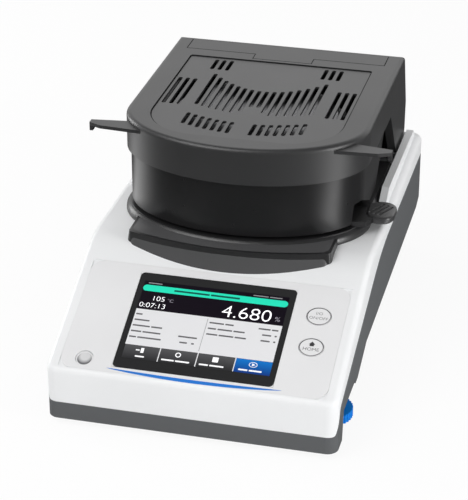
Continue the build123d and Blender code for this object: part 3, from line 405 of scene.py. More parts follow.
def on_glass(x, up, lift):
    """Points in space for places on the panel.

    A point is the glass's foot, plus x across, plus up along the panel's slope, plus lift
    along its normal: y = foot + up cos a - lift sin a, z = foot + up sin a + lift cos a.
    """
    x, up, lift = np.broadcast_arrays(x, up, lift)
    y = GLASS_FOOT[1] + up * cos(PANEL_ANGLE) - lift * sin(PANEL_ANGLE)
    z = GLASS_FOOT[2] + up * sin(PANEL_ANGLE) + lift * cos(PANEL_ANGLE)
    return np.stack([x, y, z], axis=-1)


def piece(name, points, faces, material, body, smooth=False):
    """Makes a mesh object at the origin from points and faces, and puts it in the frame."""
    mesh = bpy.data.meshes.new(name)
    mesh.from_pydata(np.asarray(points).reshape(-1, 3).tolist(), [], faces)
    shape = bmesh.new()
    shape.from_mesh(mesh)
    bmesh.ops.recalc_face_normals(shape, faces=shape.faces)
    shape.to_mesh(mesh)
    shape.free()
    mesh.polygons.foreach_set("use_smooth", np.full(len(mesh.polygons), smooth))
    if smooth:
        mesh.set_sharp_from_angle(angle=radians(32))
    made = bpy.data.objects.new(name, mesh)
    bpy.context.scene.collection.objects.link(made)
    made.data.materials.append(material)
    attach(made, body)
    return made


def prism_parts(outline, low, high):
    """Points and faces of a flat plate: the outline at two lifts above the panel.

    The outline is an array of (x, up), turning anticlockwise seen from above.
    """
    count = len(outline)
    bottom = on_glass(outline[:, 0], outline[:, 1], low)
    top = on_glass(outline[:, 0], outline[:, 1], high)
    ring = np.arange(count)
    after = np.roll(ring, -1)
    walls = np.stack([ring, after, after + count, ring + count], axis=1).tolist()
    faces = walls + [(ring[::-1]).tolist(), (ring + count).tolist()]
    return np.concatenate([bottom, top]), faces


def plates(name, outlines, material, body="root", low=PRINT_LIFT, thick=PRINT_THICKNESS):
    """One piece made of several flat plates on the panel."""
    points = []
    faces = []
    start = 0
    for outline in outlines:
        more, sides = prism_parts(outline, low, low + thick)
        points.append(more)
        faces += [[index + start for index in face] for face in sides]
        start += len(more)
    return piece(name, np.concatenate(points), faces, material, body)


def rounded(x_low, x_high, up_low, up_high, radius, count=6, low_radius=None):
    """Rounded rectangle: a quarter circle at each corner, joined in order.

    The two lower corners take low_radius where it is given.
    """
    foot = radius if low_radius is None else low_radius
    turn = np.linspace(0, pi / 2, count)
    corners = [
        (x_high - radius, up_high - radius, radius, 0.0),
        (x_low + radius, up_high - radius, radius, pi / 2),
        (x_low + foot, up_low + foot, foot, pi),
        (x_high - foot, up_low + foot, foot, 3 * pi / 2),
    ]
    arcs = [
        np.stack([x + size * np.cos(turn + start), up + size * np.sin(turn + start)], axis=1)
        for x, up, size, start in corners
    ]
    return np.concatenate(arcs)


def printed_ring(name, middle, half, width, material, body="root", low=PRINT_TOP, count=32):
    """A printed elliptic line on the panel.

    Its outer edge is x = middle + half cos t, up = middle + half sin t, each with its own half,
    and its inner edge is the same with both halves less the width.
    """
    turn = np.linspace(0, 2 * pi, count + 1)[:-1]
    circle = np.stack([np.cos(turn), np.sin(turn)], axis=1)
    outer = middle + np.array(half) * circle
    inner = middle + (np.array(half) - width) * circle
    high = low + PRINT_THICKNESS
    layers = [(outer, low), (outer, high), (inner, high), (inner, low)]
    points = np.concatenate([on_glass(line[:, 0], line[:, 1], lift) for line, lift in layers])
    ring = np.arange(count)
    after = np.roll(ring, -1)
    faces = []
    for layer in range(4):
        here = layer * count
        there = ((layer + 1) % 4) * count
        faces += np.stack([ring + here, after + here, after + there, ring + there], axis=1).tolist()
    return piece(name, points, faces, material, body)


def lid_points(inset, turns):
    """Points on the lid's front curve: x = side sin t, y = centre - nose cos t."""
    side = LID_HALF - inset
    nose = LID_NOSE - inset
    return np.stack([side * np.sin(turns), LID_CURVE - nose * np.cos(turns)], axis=1)


def lid_line(inset, back):
    """The lid's plan from the left rear round the front to the right rear."""
    front = lid_points(inset, np.linspace(-pi / 2, pi / 2, 97))
    side = LID_HALF - inset
    y = np.linspace(back, LID_CURVE, 9, endpoint=False)
    left = np.stack([np.full_like(y, -side), y], axis=1)
    right = np.stack([np.full_like(y, side), y[::-1]], axis=1)
    return np.concatenate([left, front, right])


def swept(name, lines, heights, material, body, closed=False, smooth=True):
    """A bar along a line in plan. Its section runs through the lines at the given heights.

    lines holds one (x, y) line for each corner of the section, and heights one height or one
    row of heights for each. Unless it is closed, both ends get a cap.
    """
    corners = len(lines)
    count = len(lines[0])
    points = np.concatenate([
        np.column_stack([line, np.broadcast_to(height, count)]) for line, height in zip(lines, heights)
    ])
    here = np.arange(count if closed else count - 1)
    after = (here + 1) % count
    faces = []
    for corner in range(corners):
        low = corner * count
        high = (corner + 1) % corners * count
        faces += np.stack([here + low, after + low, after + high, here + high], axis=1).tolist()
    if not closed:
        ends = np.arange(corners) * count
        faces += [ends.tolist(), (ends + count - 1).tolist()]
    return piece(name, points, faces, material, body, smooth)


def bar(name, outer, inner, low, high, material, body, closed=False, smooth=False):
    """A bar of upright sides between two lines in plan, from the low height to the high one."""
    lines = [outer, outer, inner, inner]
    return swept(name, lines, [low, high, high, low], material, body, closed, smooth)


def stacked(name, outlines, heights, material, body, smooth=False):
    """A solid with flat ends whose outline goes through the outlines at the heights."""
    count = len(outlines[0])
    points = np.concatenate([
        np.column_stack([outline, np.full(count, height)]) for outline, height in zip(outlines, heights)
    ])
    ring = np.arange(count)
    after = np.roll(ring, -1)
    faces = [ring.tolist(), (ring + count * (len(outlines) - 1)).tolist()]
    for layer in range(len(outlines) - 1):
        low, high = layer * count, (layer + 1) * count
        faces += np.stack([ring + low, after + low, after + high, ring + high], axis=1).tolist()
    return piece(name, points, faces, material, body, smooth)


def word_bars(start, up, lengths, half):
    """Short bars that stand for words, 1 mm apart. The start and the lengths are in millimetres."""
    bars = []
    for length in lengths:
        bars.append(rounded(start * MM, (start + length) * MM, up - half, up + half, 0.45 * half, 4))
        start += length + 1.0
    return bars


def lettering(name, lines, material, body="root", low=PRINT_TOP):
    """Text laid on the panel. Each line is (text, x, up, height, alignment)."""
    points = []
    faces = []
    start = 0
    for text, x, up, height, align in lines:
        curve = bpy.data.curves.new(name, "FONT")
        curve.body = text
        curve.size = height / CAPITAL_HEIGHT
        curve.align_x = align
        curve.extrude = PRINT_THICKNESS / 2
        curve.offset = -TEXT_THINNING * curve.size
        shape = bpy.data.objects.new(name, curve)
        bpy.context.scene.collection.objects.link(shape)
        bpy.context.view_layer.update()
        graph = bpy.context.evaluated_depsgraph_get()
        flat = bpy.data.meshes.new_from_object(shape.evaluated_get(graph))
        place = np.empty(3 * len(flat.vertices))
        flat.vertices.foreach_get("co", place)
        place = place.reshape(-1, 3)
        lift = low + PRINT_THICKNESS / 2 + place[:, 2]
        points.append(on_glass(x + TEXT_STRETCH * place[:, 0], up + place[:, 1], lift))
        faces += [[index + start for index in face.vertices] for face in flat.polygons]
        start += len(place)
        bpy.data.objects.remove(shape)
        bpy.data.curves.remove(curve)
        bpy.data.meshes.remove(flat)
    return piece(name, np.concatenate(points), faces, material, body)


def colour_property(name, description, display):
    """A colour for a PropertyGroup, given from 0 to 255."""
    return FloatVectorProperty(
        name=name, description=description, default=linear(*display), subtype="COLOR", size=3, min=0, max=1
    )


class AnalyzerColours(bpy.types.PropertyGroup):
    """Colours of the mouldings and the marks."""

    white: colour_property("White shell", "Colour of the upper case", (246, 247, 248))
    case: colour_property("Dark case", "Colour of the lower case", (98, 100, 102))
    lid: colour_property("Lid", "Colour of the lid's cover", (44, 44, 45))
    vents: colour_property("Vents", "Colour of the vent plate", (58, 58, 59))
    band: colour_property("Band", "Colour of the glossy band", (24, 24, 25))
    ring: colour_property("Chamber ring", "Colour of the heating chamber's ring", (36, 36, 37))
    lip: colour_property("Lip", "Colour of the lip over the panel's top", (80, 80, 81))
    sheet: colour_property("Panel sheet", "Colour of the printed sheet", (238, 238, 239))
    wheel: colour_property("Wheels", "Colour of the levelling wheels", (0, 135, 235))
    arc: colour_property("Arc", "Colour of the printed arc", (0, 118, 215))
    bezel: colour_property("Bezel", "Colour of the glass round the display", (40, 40, 41))


class AnalyzerReadout(bpy.types.PropertyGroup):
    """What the display shows."""

    result: StringProperty(name="Result", description="Large number on the display", default="4.680")
    heat: StringProperty(name="Temperature", description="Small upper number", default="105")
    clock: StringProperty(name="Time", description="Small lower number", default="0:07:13")
    glow: FloatProperty(
        name="Glow", description="Strength of the display's light", default=0.14, min=0, max=2
    )


class AnalyzerStage(bpy.types.PropertyGroup):
    """Light and camera."""

    floor: colour_property("Floor", "Colour of the floor", (250, 250, 250))
    key: FloatProperty(name="Key light", description="Power of the large lamp", default=27.0, min=0)
    strips: FloatProperty(name="Side strips", description="Power of the tall lamps", default=4.5, min=0)
    sky: FloatProperty(name="Sky", description="Strength of the even light", default=0.46, min=0)
    lens: FloatProperty(name="Lens", description="Focal length in millimetres", default=152.357, min=1)


def settings():
    """The three groups of settings, from the scene."""
    scene = bpy.context.scene
    return scene.analyzer_colours, scene.analyzer_readout, scene.analyzer_stage


def cover(material, *names):
    """Gives CAD nodes a finish."""
    for name in names:
        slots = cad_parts[name].data.materials
        slots.clear()
        slots.append(material)


class ANALYZER_OT_housing(bpy.types.Operator):
    """Finish the two halves of the housing, the printed sheet and the feet"""

    bl_idname = "analyzer.housing"
    bl_label = "Housing"

    def execute(self, context):
        colours, _, _ = settings()
        cover(moulded("white_shell", colours.white, 0.38, 700.0, 0.015 * MM), "upper_case")
        cover(moulded("dark_case", colours.case, 0.5), "lower_case")
        cover(moulded("panel_sheet", colours.sheet, 0.42, 1500.0, 0.01 * MM), "panel_overlay", "level_body")
        cover(moulded("key_film", colours.sheet, 0.4, 1500.0, 0.01 * MM), "power_key", "home_key")
        cover(polished("wheel_blue", colours.wheel, 0.3), "foot_wheel_left", "foot_wheel_right")
        cover(rubber("foot_rubber", linear(40, 40, 40)), "foot_pad_left", "foot_pad_right", "rear_feet")
        # The level cell's dark crescent is painted shade of its dip.
        cover(dimple("level_cell_painted_shade", linear(226, 226, 227), linear(118, 118, 120)), "level_vial")
        return {"FINISHED"}


class ANALYZER_OT_lid(bpy.types.Operator):
    """Finish the lid, its vents, its band and its grips"""

    bl_idname = "analyzer.lid"
    bl_label = "Lid"

    def execute(self, context):
        colours, _, _ = settings()
        grey = moulded("lid_grey", colours.lid, 0.42, specular=1.0)
        cover(grey, "lid_cover", "rear_cap", "lid_handle_left", "lid_handle_right")
        cover(moulded("vent_grey", colours.vents, 0.42, specular=1.0), "vent_plate")
        gloss = polished("band_gloss", colours.band, 0.26, specular=0.6, waves=0.005 * MM)
        cover(gloss, "lid_band")
        # The seams' near-black finish is painted shade.
        self.grooves(moulded("seam_painted_shade", linear(14, 14, 14), 0.7, specular=0.1))
        inner = moulded("inner_black", linear(34, 34, 35), 0.5)
        cover(inner, "lid_skirt", "hinge_bushes")
        self.band(gloss)
        self.side_walls(inner)
        return {"FINISHED"}

    def band(self, material):
        """Glossy band round the lid's front, which rises over the handle's way out on the right.

        Its foot rises there by 3 r^2 - 2 r^3 of the gate's height, as r goes from 0 to 1 over
        the gate's ramp.
        """
        last = np.arccos((LID_CURVE - BAND_END) / (LID_NOSE - LID_INSET))
        turns = np.linspace(-last, last, 181)
        outer = lid_points(LID_INSET, turns)
        inner = lid_points(LID_INSET + BAND_WALL, turns)
        rise = np.clip((outer[:, 1] - GATE_FRONT) / GATE_RAMP, 0, 1) * (outer[:, 0] > 0)
        foot = BAND_LOW[2] + GATE_HEIGHT * rise ** 2 * (3 - 2 * rise)
        top = BAND_HIGH[2]
        front = bar("band_front", outer, inner, foot, top, material, "lid", smooth=True)
        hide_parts("lid_band")

    def side_walls(self, material):
        """Dull walls from the band's ends to the rear, a little inside the band's own face.

        In plan a wall is x = half sqrt(1 - d^2) - depth, where d goes from 1 at the nose to 0
        where the sides run straight. Its foot falls from the gate's height to nothing, and
        rises again along the rear slope.
        """
        low, high = BAND_LOW[2], BAND_HIGH[2]
        clearance, outside, inside = 0.3 * MM, 0.6 * MM, 2.1 * MM
        start, end = BAND_END + clearance, BAND_HIGH[1]
        y = np.unique([*np.linspace(start, end, 41), LID_CURVE, GATE_REAR, SLOPE_START])
        bow = np.sqrt(1 - np.clip((LID_CURVE - y) / LID_NOSE, 0, 1) ** 2)
        slope = np.clip((y - SLOPE_START) / (end - SLOPE_START), 0, 1) * (high - low - SLOPE_LEFT)
        for side, word in ((-1, "left"), (1, "right")):
            gate = np.clip((GATE_REAR - y) / (GATE_REAR - BAND_END), 0, 1) * (side > 0)
            outer, inner = (
                np.stack([side * (LID_HALF * bow - LID_INSET - depth), y], axis=1)
                for depth in (outside, inside)
            )
            foot = low + GATE_HEIGHT * gate + slope
            bar(f"side_wall_{word}", outer, inner, foot, high, material, "lid")

    def grooves(self, material):
        """Dark lines of painted shade where the vent plate and the rear cap meet the cover: near-black
        strips that stand in for the shadow in the seams.
        """
        depth = 0.1 * MM
        front_corner, rear_corner, arc_points = 40.0 * MM, 2.0 * MM, 17
        low, high = box_of("vent_plate")
        outer, inner = (
            rounded(low[0] + inset, high[0] - inset, low[1] + inset, high[1] - inset,
                    rear_corner, arc_points, front_corner - inset)
            for inset in (0.0, 0.75 * MM)
        )
        # Painted shade: a near-black strip along the vent plate's edge stands in for the shadow in its
        # seam.
        bar("vent_groove", outer, inner, high[2] - depth, high[2] + SKIN, material, "lid", True)
        low, high = box_of("rear_cap")
        outer, inner = (self.cap_line(low, high, inset) for inset in (0.0, 0.55 * MM))
        top = high[2] + PRINT_LIFT
        bar("cap_groove", outer, inner, high[2] - depth, top, material, "lid")

    def cap_line(self, low, high, inset):
        """Front edge of the rear cap, with its tab in the middle, moved in by the inset."""
        half, tab = high[0] - inset, 23.5 * MM - inset
        front, step, rear = low[1] + inset, low[1] + 9.5 * MM + inset, high[1] - inset
        x = np.array([-half, -half, -tab, -tab, tab, tab, half, half])
        y = np.array([rear, step, step, front, front, step, step, rear])
        return np.stack([x, y], axis=1)


class ANALYZER_OT_chamber(bpy.types.Operator):
    """Finish the heating chamber, the pan and its handle, and what is under the lid"""

    bl_idname = "analyzer.chamber"
    bl_label = "Heating chamber"

    def execute(self, context):
        colours, _, _ = settings()
        satin = moulded("ring_satin", colours.ring, 0.36, specular=0.9)
        cover(satin, "chamber_base")
        black = moulded("handle_black", linear(38, 38, 39), 0.45)
        cover(black, "hinge_bridge", "pan_handle")
        top = BASE_TOP + SKIN
        self.collar(satin, top)
        self.lip(moulded("lip_satin", colours.lip, 0.4), top)
        self.handle(black)
        cover(metal("dish_steel", linear(215, 215, 215), 0.12), "chamber_dish", "lid_liner")
        cover(metal("pan_foil", linear(225, 226, 228), 0.2, scale=900.0), "sample_pan")
        cover(metal("ring_metal", linear(190, 190, 192), 0.25), "draught_ring", "glass_ring")
        cover(metal("reflector_steel", linear(150, 150, 152), 0.3), "reflector")
        cover(clear("window_glass", (0.92, 0.95, 0.94)), "glass_plate")
        cover(clear("lamp_glass", (0.98, 0.97, 0.94), 1.46), "halogen_lamp")
        cover(polished("lamp_ceramic", linear(226, 220, 206), 0.4), "lamp_socket")
        return {"FINISHED"}

    def collar(self, material, top):
        """Collar round the chamber: a bar along the lid's plan with a rounded outer edge.

        At turn t that edge lies radius (1 - cos t) inside the collar's side and
        radius (1 - sin t) under its top.
        """
        radius, grow = 6.5 * MM, 1.7 * MM
        depth, width = 7.6 * MM, 9.0 * MM
        bend = np.linspace(0, pi / 2, 9)
        insets = [-grow, *(radius * (1 - np.cos(bend)) - grow), width, width]
        rises = [-depth, *(radius * (np.sin(bend) - 1)), 0.0, -depth]
        lines = [lid_line(inset, LID_FRONT + 160.0 * MM) for inset in insets]
        swept("collar", lines, [top + rise for rise in rises], material, "root")

    def lip(self, material, top):
        """Lip over the panel's top.

        Its front is y = nose + bow (x / half)^2, with a quarter circle at each corner, and it
        leans forward towards the foot. Each layer is a drop below the top and an inset, in mm.
        """
        half, corner, bow = 75.0 * MM, 5.0 * MM, 13.0 * MM
        nose, back = LID_FRONT - 12.0 * MM, LID_CURVE - 22.0 * MM
        lean, edge = radians(22), 5.0
        layers = ((32.5, 0.0), (edge, 0.0), (3.6, 0.3), (2.8, 1.0), (2.45, 2.2))
        x = half * np.sin(np.linspace(-pi / 2, pi / 2, 61))
        round_off = np.clip((np.abs(x) - half + corner) / corner, 0, 1)
        y = nose + bow * (x / half) ** 2 + corner * (1 - np.sqrt(1 - round_off ** 2))
        outlines = []
        for drop, inset in layers:
            forward = max(0.0, drop - edge) * MM * tan(lean)
            shrink = 1 - inset * MM / half
            front = np.stack([x * shrink, y + inset * MM - forward], axis=1)
            outlines.append(np.concatenate([front, [(half * shrink, back), (-half * shrink, back)]]))
        heights = [top - drop * MM for drop, _ in layers]
        stacked("lip", outlines, heights, material, "root", smooth=True)

    def handle(self, material):
        """Handle that lifts the pan: a round ring, a neck and a ribbed paddle beside the lid.

        The paddle's layers are each a rise over the handle's foot and an inset, in mm.
        """
        turn = np.linspace(0, 2 * pi, 97)[:-1]
        circle = np.stack([np.cos(turn), np.sin(turn)], axis=1)
        ring_radius, hole_radius, thickness = 54.0 * MM, 42.8 * MM, 4.5 * MM
        outer, inner = ([0.0, CHAMBER_Y] + radius * circle for radius in (ring_radius, hole_radius))
        low = HANDLE_FOOT + 0.6 * MM
        top = low + thickness
        ring = bar("handle_ring", outer, inner, low, top, material, "handle", closed=True)
        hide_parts("pan_handle")
        neck = np.array([
            (50.0, -7.4), (82.0, -23.6), (92.0, -21.1), (97.0, -10.0), (91.0, 0.5), (50.0, 10.6)
        ])
        neck = neck * MM + [0.0, PADDLE[1]]
        heights = [low + PRINT_LIFT, top - PRINT_LIFT]
        stacked("handle_neck", [neck, neck], heights, material, "handle")
        layers = ((-0.4, 1.5), (0.8, 0.2), (3.2, 0.0), (4.4, 0.3), (5.0, 1.0), (5.25, 2.2))
        outlines = []
        for _, inset in layers:
            half_x, half_y = (half - inset * MM for half in PADDLE_HALF)
            outlines.append(rounded(PADDLE[0] - half_x, PADDLE[0] + half_x, PADDLE[1] - half_y,
                                    PADDLE[1] + half_y, half_x - 1.0 * MM, 9))
        heights = [low + rise * MM for rise, _ in layers]
        ribs = ribbed("paddle_ribs", linear(56, 56, 57), 0.36)
        stacked("handle_paddle", outlines, heights, ribs, "handle", smooth=True)


class ANALYZER_OT_works(bpy.types.Operator):
    """Finish the metal parts, boards and connectors inside and behind"""

    bl_idname = "analyzer.works"
    bl_label = "Works"

    def execute(self, context):
        steel = metal("works_steel", linear(180, 181, 183), 0.3)
        names = ("foot_stud_left", "foot_stud_right", "hinge_pins", "hinge_washers", "pan_support",
                 "load_shaft", "case_screws", "chassis_screws", "bridge_screws", "lid_screws",
                 "temperature_sensor", "serial_port", "usb_port")
        cover(steel, *names)
        cover(metal("plate_steel", linear(170, 172, 175), 0.35, (1.0, 40.0, 1.0), 40.0), "chassis_plate")
        cover(metal("cell_aluminium", linear(200, 201, 203), 0.3, (30.0, 1.0, 1.0), 60.0), "weighing_cell")
        board = moulded("board_green", linear(28, 92, 60), 0.4, 400.0)
        cover(board, "main_board", "power_supply", "key_board")
        cover(moulded("connector_black", linear(32, 32, 33), 0.5), "power_inlet")
        return {"FINISHED"}


class ANALYZER_OT_display(bpy.types.Operator):
    """Make the touch glass and everything that the display shows"""

    bl_idname = "analyzer.display"
    bl_label = "Display"

    def execute(self, context):
        colours, readout, _ = settings()
        glow = readout.glow
        cover(polished("touch_glass", colours.bezel, 0.12, 0.3), "display_glass")
        cover(moulded("module_frame", linear(70, 70, 72), 0.5), "display_module")
        self.corners(colours.sheet)
        dark = lit("screen_dark", linear(12, 2, 18))
        plates("screen_ground", [rounded(-SCREEN_HALF, SCREEN_HALF, LIGHT_TOP, SCREEN_TOP, 0.2 * MM)], dark)
        light = lit("screen_light", linear(228, 228, 230), strength=glow)
        plates("screen_table", [rounded(-SCREEN_HALF, SCREEN_HALF, BUTTON_TOP, LIGHT_TOP, 0.2 * MM)], light)
        stripe = rounded(-SCREEN_HALF, SCREEN_HALF, BAR_MIDDLE - BAR_HALF_HEIGHT,
                         BAR_MIDDLE + BAR_HALF_HEIGHT, BAR_HALF_HEIGHT - 0.01 * MM, 9)
        teal = lit("bar_teal", linear(35, 230, 190), strength=glow)
        plates("status_bar", [stripe], teal, low=PRINT_TOP)
        *starts, last = BUTTON_EDGES[:-1]
        button = (SCREEN_FOOT, BUTTON_TOP - 0.2 * MM, 0.3 * MM)
        grey = lit("button_grey", linear(84, 84, 86), linear(40, 40, 42))
        keys = [
            rounded(low + BUTTON_GAP, high - BUTTON_GAP, *button)
            for low, high in zip(starts, BUTTON_EDGES[1:])
        ]
        plates("soft_buttons", keys, grey)
        blue = lit("button_blue", linear(0, 118, 205), linear(2, 54, 134))
        plates("next_button", [rounded(last + BUTTON_GAP, BUTTON_EDGES[-1], *button)], blue)
        rules = [
            rounded(x - BUTTON_GAP, x + BUTTON_GAP, SCREEN_FOOT, BUTTON_TOP, 0.1 * MM)
            for x in BUTTON_EDGES[1:-1]
        ]
        plates("button_rules", rules, light)
        white = lit("digits_white", linear(248, 248, 250), strength=0.7)
        lettering("readout_digits", [
            (readout.result, 44.2 * MM, 53.9 * MM, 10.6 * MM, "RIGHT"),
            (readout.heat, -44.5 * MM, 60.3 * MM, 4.3 * MM, "LEFT"),
            (readout.clock, -52.2 * MM, 53.9 * MM, 4.3 * MM, "LEFT"),
        ], white)
        lettering("readout_units", [
            ("%", 46.2 * MM, 55.2 * MM, 4.0 * MM, "LEFT"),
            ("°C", -33.0 * MM, 60.4 * MM, 2.8 * MM, "LEFT"),
        ], lit("units_grey", linear(165, 160, 172), strength=0.4))
        return {"FINISHED"}

    def corners(self, colour):
        """Sheet over the glass's four corners, which leaves each rounded to 3 mm."""
        radius = 3.0 * MM
        turn = np.linspace(0, pi / 2, 9)
        quarter = radius * (np.stack([np.cos(turn), np.sin(turn)], axis=1) - 1)
        outline = np.concatenate([quarter, [[0.02 * MM, 0.02 * MM]]])
        outlines = [
            [side * GLASS_HIGH[0], up] + outline * [side, flip]
            for up, flip in ((GLASS_UP, 1), (0.0, -1)) for side in (1, -1)
        ]
        sheet = moulded("corner_sheet", colour, 0.42, 1500.0, 0.01 * MM)
        plates("glass_corners", outlines, sheet, low=0.0, thick=0.06 * MM)


class ANALYZER_OT_screen_rows(bpy.types.Operator):
    """Make the rows and symbols of the display's lower half"""

    bl_idname = "analyzer.screen_rows"
    bl_label = "Screen rows"

    def execute(self, context):
        ink = lit("row_ink", linear(104, 104, 106), strength=0.05)
        bars = []
        for start, row, words in TABLE_WORDS:
            bars += word_bars(start, ROW_FIRST - row * ROW_PITCH, words, 0.62 * MM)
        plates("table_rows", bars, ink, low=PRINT_TOP)
        rule = rounded(-0.45 * MM, -0.05 * MM, BUTTON_TOP + 1.5 * MM, LIGHT_TOP - 1.5 * MM, 0.1 * MM)
        grey = lit("rule_grey", linear(170, 170, 172), strength=0.05)
        plates("table_rule", [rule], grey, low=PRINT_TOP)
        pale = lit("mark_white", linear(238, 238, 240), strength=0.4)
        title = lit("title_grey", linear(150, 150, 154))
        bars = []
        for start, words in TITLE_WORDS:
            bars += word_bars(start, TITLE_UP, words, 0.4 * MM)
        plates("title_marks", bars, title, low=PRINT_TOP)
        bars = word_bars(-30.0, BAR_MIDDLE, (26.0, 21.0), 0.75 * MM)
        deep = lit("bar_ink", linear(14, 92, 80), strength=0.05)
        plates("bar_marks", bars, deep, low=PRINT_TOP + PRINT_THICKNESS)
        bars = []
        for start, words in BUTTON_WORDS:
            bars += word_bars(start, CAPTION_UP, words, 0.62 * MM)
        plates("button_captions", bars, pale, low=PRINT_TOP)
        icons = [
            rounded(-40.6 * MM, -38.4 * MM, 14.3 * MM, 18.5 * MM, 0.2 * MM),
            rounded(-44.2 * MM, -41.4 * MM, 15.9 * MM, 16.9 * MM, 0.2 * MM),
            rounded(11.0 * MM, 15.2 * MM, 14.3 * MM, 18.5 * MM, 0.4 * MM),
        ]
        plates("button_symbols", icons, pale, low=PRINT_TOP)
        printed_ring("turn_symbol", (-13.6 * MM, 16.4 * MM), (2.1 * MM, 2.1 * MM), 0.8 * MM, pale)
        printed_ring("play_symbol", (40.0 * MM, 16.2 * MM), (3.0 * MM, 2.2 * MM), 0.4 * MM, pale)
        arrow = np.array([(39.2, 15.0), (41.6, 16.2), (39.2, 17.4)]) * MM
        plates("play_arrow", [arrow], pale, low=PRINT_TOP)
        return {"FINISHED"}


class ANALYZER_OT_marks(bpy.types.Operator):
    """Print the rings and signs on the keys and the arc below the display"""

    bl_idname = "analyzer.marks"
    bl_label = "Printed marks"

    def execute(self, context):
        colours, _, _ = settings()
        grey = printed("ink_grey", linear(92, 92, 94))
        dark = printed("ink_dark", linear(56, 56, 58))
        lift = KEY_LIFT + PRINT_LIFT
        for key, up in KEY_UPS.items():
            printed_ring(f"{key}_ring", (KEY_X, up), KEY_HALF, KEY_LINE, grey, f"{key}_button",
                         lift, 72)
        lettering("power_sign", [
            ("ON/OFF", KEY_X, KEY_UPS["power"] - 2.8 * MM, 2.4 * MM, "CENTER"),
            ("I/O", KEY_X, KEY_UPS["power"] + 1.3 * MM, 2.4 * MM, "CENTER"),
        ], grey, "power_button", lift)
        roof = np.array([(-2.2, 2.4), (2.2, 2.4), (0.0, 4.8)]) * MM
        walls = np.array([(-1.5, 0.9), (1.5, 0.9), (1.5, 2.5), (-1.5, 2.5)]) * MM
        at = np.array([KEY_X, KEY_UPS["home"]])
        plates("home_sign", [roof + at, walls + at], dark, "home_button", lift)
        lettering("home_word", [("HOME", KEY_X, KEY_UPS["home"] - 3.0 * MM, 2.7 * MM, "CENTER")],
                  dark, "home_button", lift)
        self.arc(printed("ink_blue", colours.arc))
        return {"FINISHED"}

    def arc(self, material):
        """Arc under the display, pointed at both ends.

        Along it t goes from -1 to 1: its middle lies at end - drop (1 - t^2), and it is
        half (1 - t^2)^0.7 thick on each side.
        """
        across = np.linspace(-1, 1, 81)
        x = ARC_MIDDLE + across * ARC_REACH
        middle = ARC_END - ARC_DROP * (1 - across ** 2)
        half = ARC_HALF * (1 - across ** 2) ** 0.7
        lower = np.stack([x, middle - half], axis=1)
        upper = np.stack([x, middle + half], axis=1)[::-1]
        plates("blue_arc", [np.concatenate([lower, upper[1:-1]])], material)


class ANALYZER_OT_stage(bpy.types.Operator):
    """Make the floor, the lamps, the sky and the camera"""

    bl_idname = "analyzer.stage"
    bl_label = "Stage"

    def execute(self, context):
        _, _, stage = settings()
        scene = context.scene
        reach = 6.0
        corners = [(-reach, -reach, 0), (reach, -reach, 0), (reach, reach, 0), (-reach, reach, 0)]
        mesh = bpy.data.meshes.new("floor")
        mesh.from_pydata(corners, [], [(0, 1, 2, 3)])
        floor = bpy.data.objects.new("floor", mesh)
        scene.collection.objects.link(floor)
        floor.data.materials.append(floor_material(stage.floor))
        world = bpy.data.worlds.new("sky")
        scene.world = world
        world.use_nodes = True
        tree = world.node_tree
        ground = tree.nodes["Background"]
        ground.inputs["Color"].default_value = (1.0, 1.0, 1.0, 1.0)
        sky_strength(tree, ground, stage.sky)
        for name, (place, target, size, power, share) in LAMPS.items():
            lamp(name, place, target, size, getattr(stage, power) * share)
        camera = bpy.data.cameras.new("camera")
        camera.sensor_fit = "HORIZONTAL"
        camera.sensor_width = 36.0
        camera.lens = stage.lens
        camera.clip_end = 20.0
        holder = bpy.data.objects.new("camera", camera)
        scene.collection.objects.link(holder)
        holder.location = CAMERA_PLACE
        holder.rotation_euler = (pi / 2 - CAMERA_DOWN, 0.0, CAMERA_TURN)
        scene.camera = holder
        scene.view_settings.view_transform = "Standard"
        return {"FINISHED"}


def sky_strength(tree, ground, even):
    """Strength of the sky: 1 as seen, dim in front and overhead in reflections, else even.

    A reflection sees 0.12 where its direction's y is under 0.3 and 1.15 where it is over 0.8.
    """
    def node(kind, values, **choices):
        made = tree.nodes.new(kind)
        for name, choice in choices.items():
            setattr(made, name, choice)
        for key, value in values.items():
            if isinstance(value, (int, float)):
                made.inputs[key].default_value = value
            else:
                tree.links.new(value, made.inputs[key])
        return made

    path = node("ShaderNodeLightPath", {}).outputs
    where = node("ShaderNodeTexCoord", {}).outputs["Generated"]
    split = node("ShaderNodeSeparateXYZ", {0: where}).outputs
    behind = node("ShaderNodeMapRange", {0: split["Y"], 1: 0.3, 2: 0.8, 3: 0.12, 4: 1.15},
                  interpolation_type="SMOOTHSTEP").outputs[0]
    seen = node("ShaderNodeMath", {0: path["Is Camera Ray"], 1: path["Is Transmission Ray"]},
                operation="MAXIMUM").outputs[0]
    level = node("ShaderNodeMix", {0: path["Is Glossy Ray"], 2: even, 3: behind}).outputs[0]
    level = node("ShaderNodeMix", {0: seen, 2: level, 3: 1.0}).outputs[0]
    tree.links.new(level, ground.inputs["Strength"])


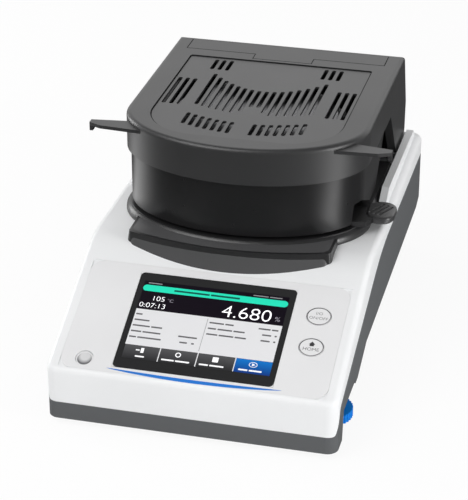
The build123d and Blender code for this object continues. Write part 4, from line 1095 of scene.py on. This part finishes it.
def floor_material(colour):
    """A white floor: it shows white to the camera and still keeps the object's shadow.

    In reflections it is dark, with a bright patch on the right and a dimmer one on the left,
    which the band shows as two upright highlights. A ramp's numbers are metres on the floor.
    """
    finish = Finish("floor_white", Roughness=0.9, Specular_IOR_Level=0.0)
    finish.set(Base_Color=tuple(colour))
    x, y = finish.axes("XY")
    ramp = finish.ramp
    right = ramp(x, 0.18, 0.24) * ramp(y, -0.19, -0.12) * (1.0 - ramp(y, -0.12, -0.04))
    left = ramp(0.0 - x, 0.18, 0.24) * ramp(y, -0.14, 0.06) * (1.0 - ramp(y, 0.1, 0.2))
    bright = 0.025 + right * 0.97 + left * 0.4
    path = finish.node("ShaderNodeLightPath")
    seen = path.out("Is Camera Ray").math("MAXIMUM", path.out("Is Transmission Ray"))
    plain = finish.blend(seen * 0.92, finish.shader, finish.glow(1.0))
    mirrored = finish.blend(bright, finish.glow(0.0), finish.glow(4.5))
    mixed = finish.blend(path.out("Is Glossy Ray"), plain, mirrored)
    finish.join(finish.output.made.inputs["Surface"], mixed)
    return finish.material


def lamp(name, place, target, size, power):
    """A rectangular lamp at a place, which faces a target."""
    light = bpy.data.lights.new(name, "AREA")
    light.shape = "RECTANGLE"
    light.size, light.size_y = size
    light.energy = power
    made = bpy.data.objects.new(name, light)
    bpy.context.scene.collection.objects.link(made)
    made.location = place
    made.rotation_euler = (Vector(target) - Vector(place)).to_track_quat("-Z", "Y").to_euler()


class ANALYZER_PT_panel(bpy.types.Panel):
    """Buttons for each group of pieces"""

    bl_idname = "ANALYZER_PT_panel"
    bl_label = "Moisture Analyzer"
    bl_space_type = "VIEW_3D"
    bl_region_type = "UI"
    bl_category = "Analyzer"

    def draw(self, context):
        for operator in OPERATORS:
            self.layout.operator(operator.bl_idname)
        for group in settings():
            for name in group.__annotations__:
                self.layout.prop(group, name)


OPERATORS = (
    ANALYZER_OT_stage,
    ANALYZER_OT_housing,
    ANALYZER_OT_lid,
    ANALYZER_OT_chamber,
    ANALYZER_OT_works,
    ANALYZER_OT_display,
    ANALYZER_OT_screen_rows,
    ANALYZER_OT_marks,
)
GROUPS = {
    "analyzer_colours": AnalyzerColours,
    "analyzer_readout": AnalyzerReadout,
    "analyzer_stage": AnalyzerStage,
}


def register():
    """Registers the settings, the operators and the panel."""
    for name, group in GROUPS.items():
        bpy.utils.register_class(group)
        setattr(bpy.types.Scene, name, PointerProperty(type=group))
    for operator in OPERATORS:
        bpy.utils.register_class(operator)
    bpy.utils.register_class(ANALYZER_PT_panel)


def unregister():
    """Takes the panel, the operators and the settings away again."""
    bpy.utils.unregister_class(ANALYZER_PT_panel)
    for operator in reversed(OPERATORS):
        bpy.utils.unregister_class(operator)
    for name, group in GROUPS.items():
        delattr(bpy.types.Scene, name)
        bpy.utils.unregister_class(group)


def main():
    """Makes everything in order."""
    register()
    for operator in OPERATORS:
        group, name = operator.bl_idname.split(".")
        getattr(getattr(bpy.ops, group), name)()


if __name__ == "__main__":
    main()
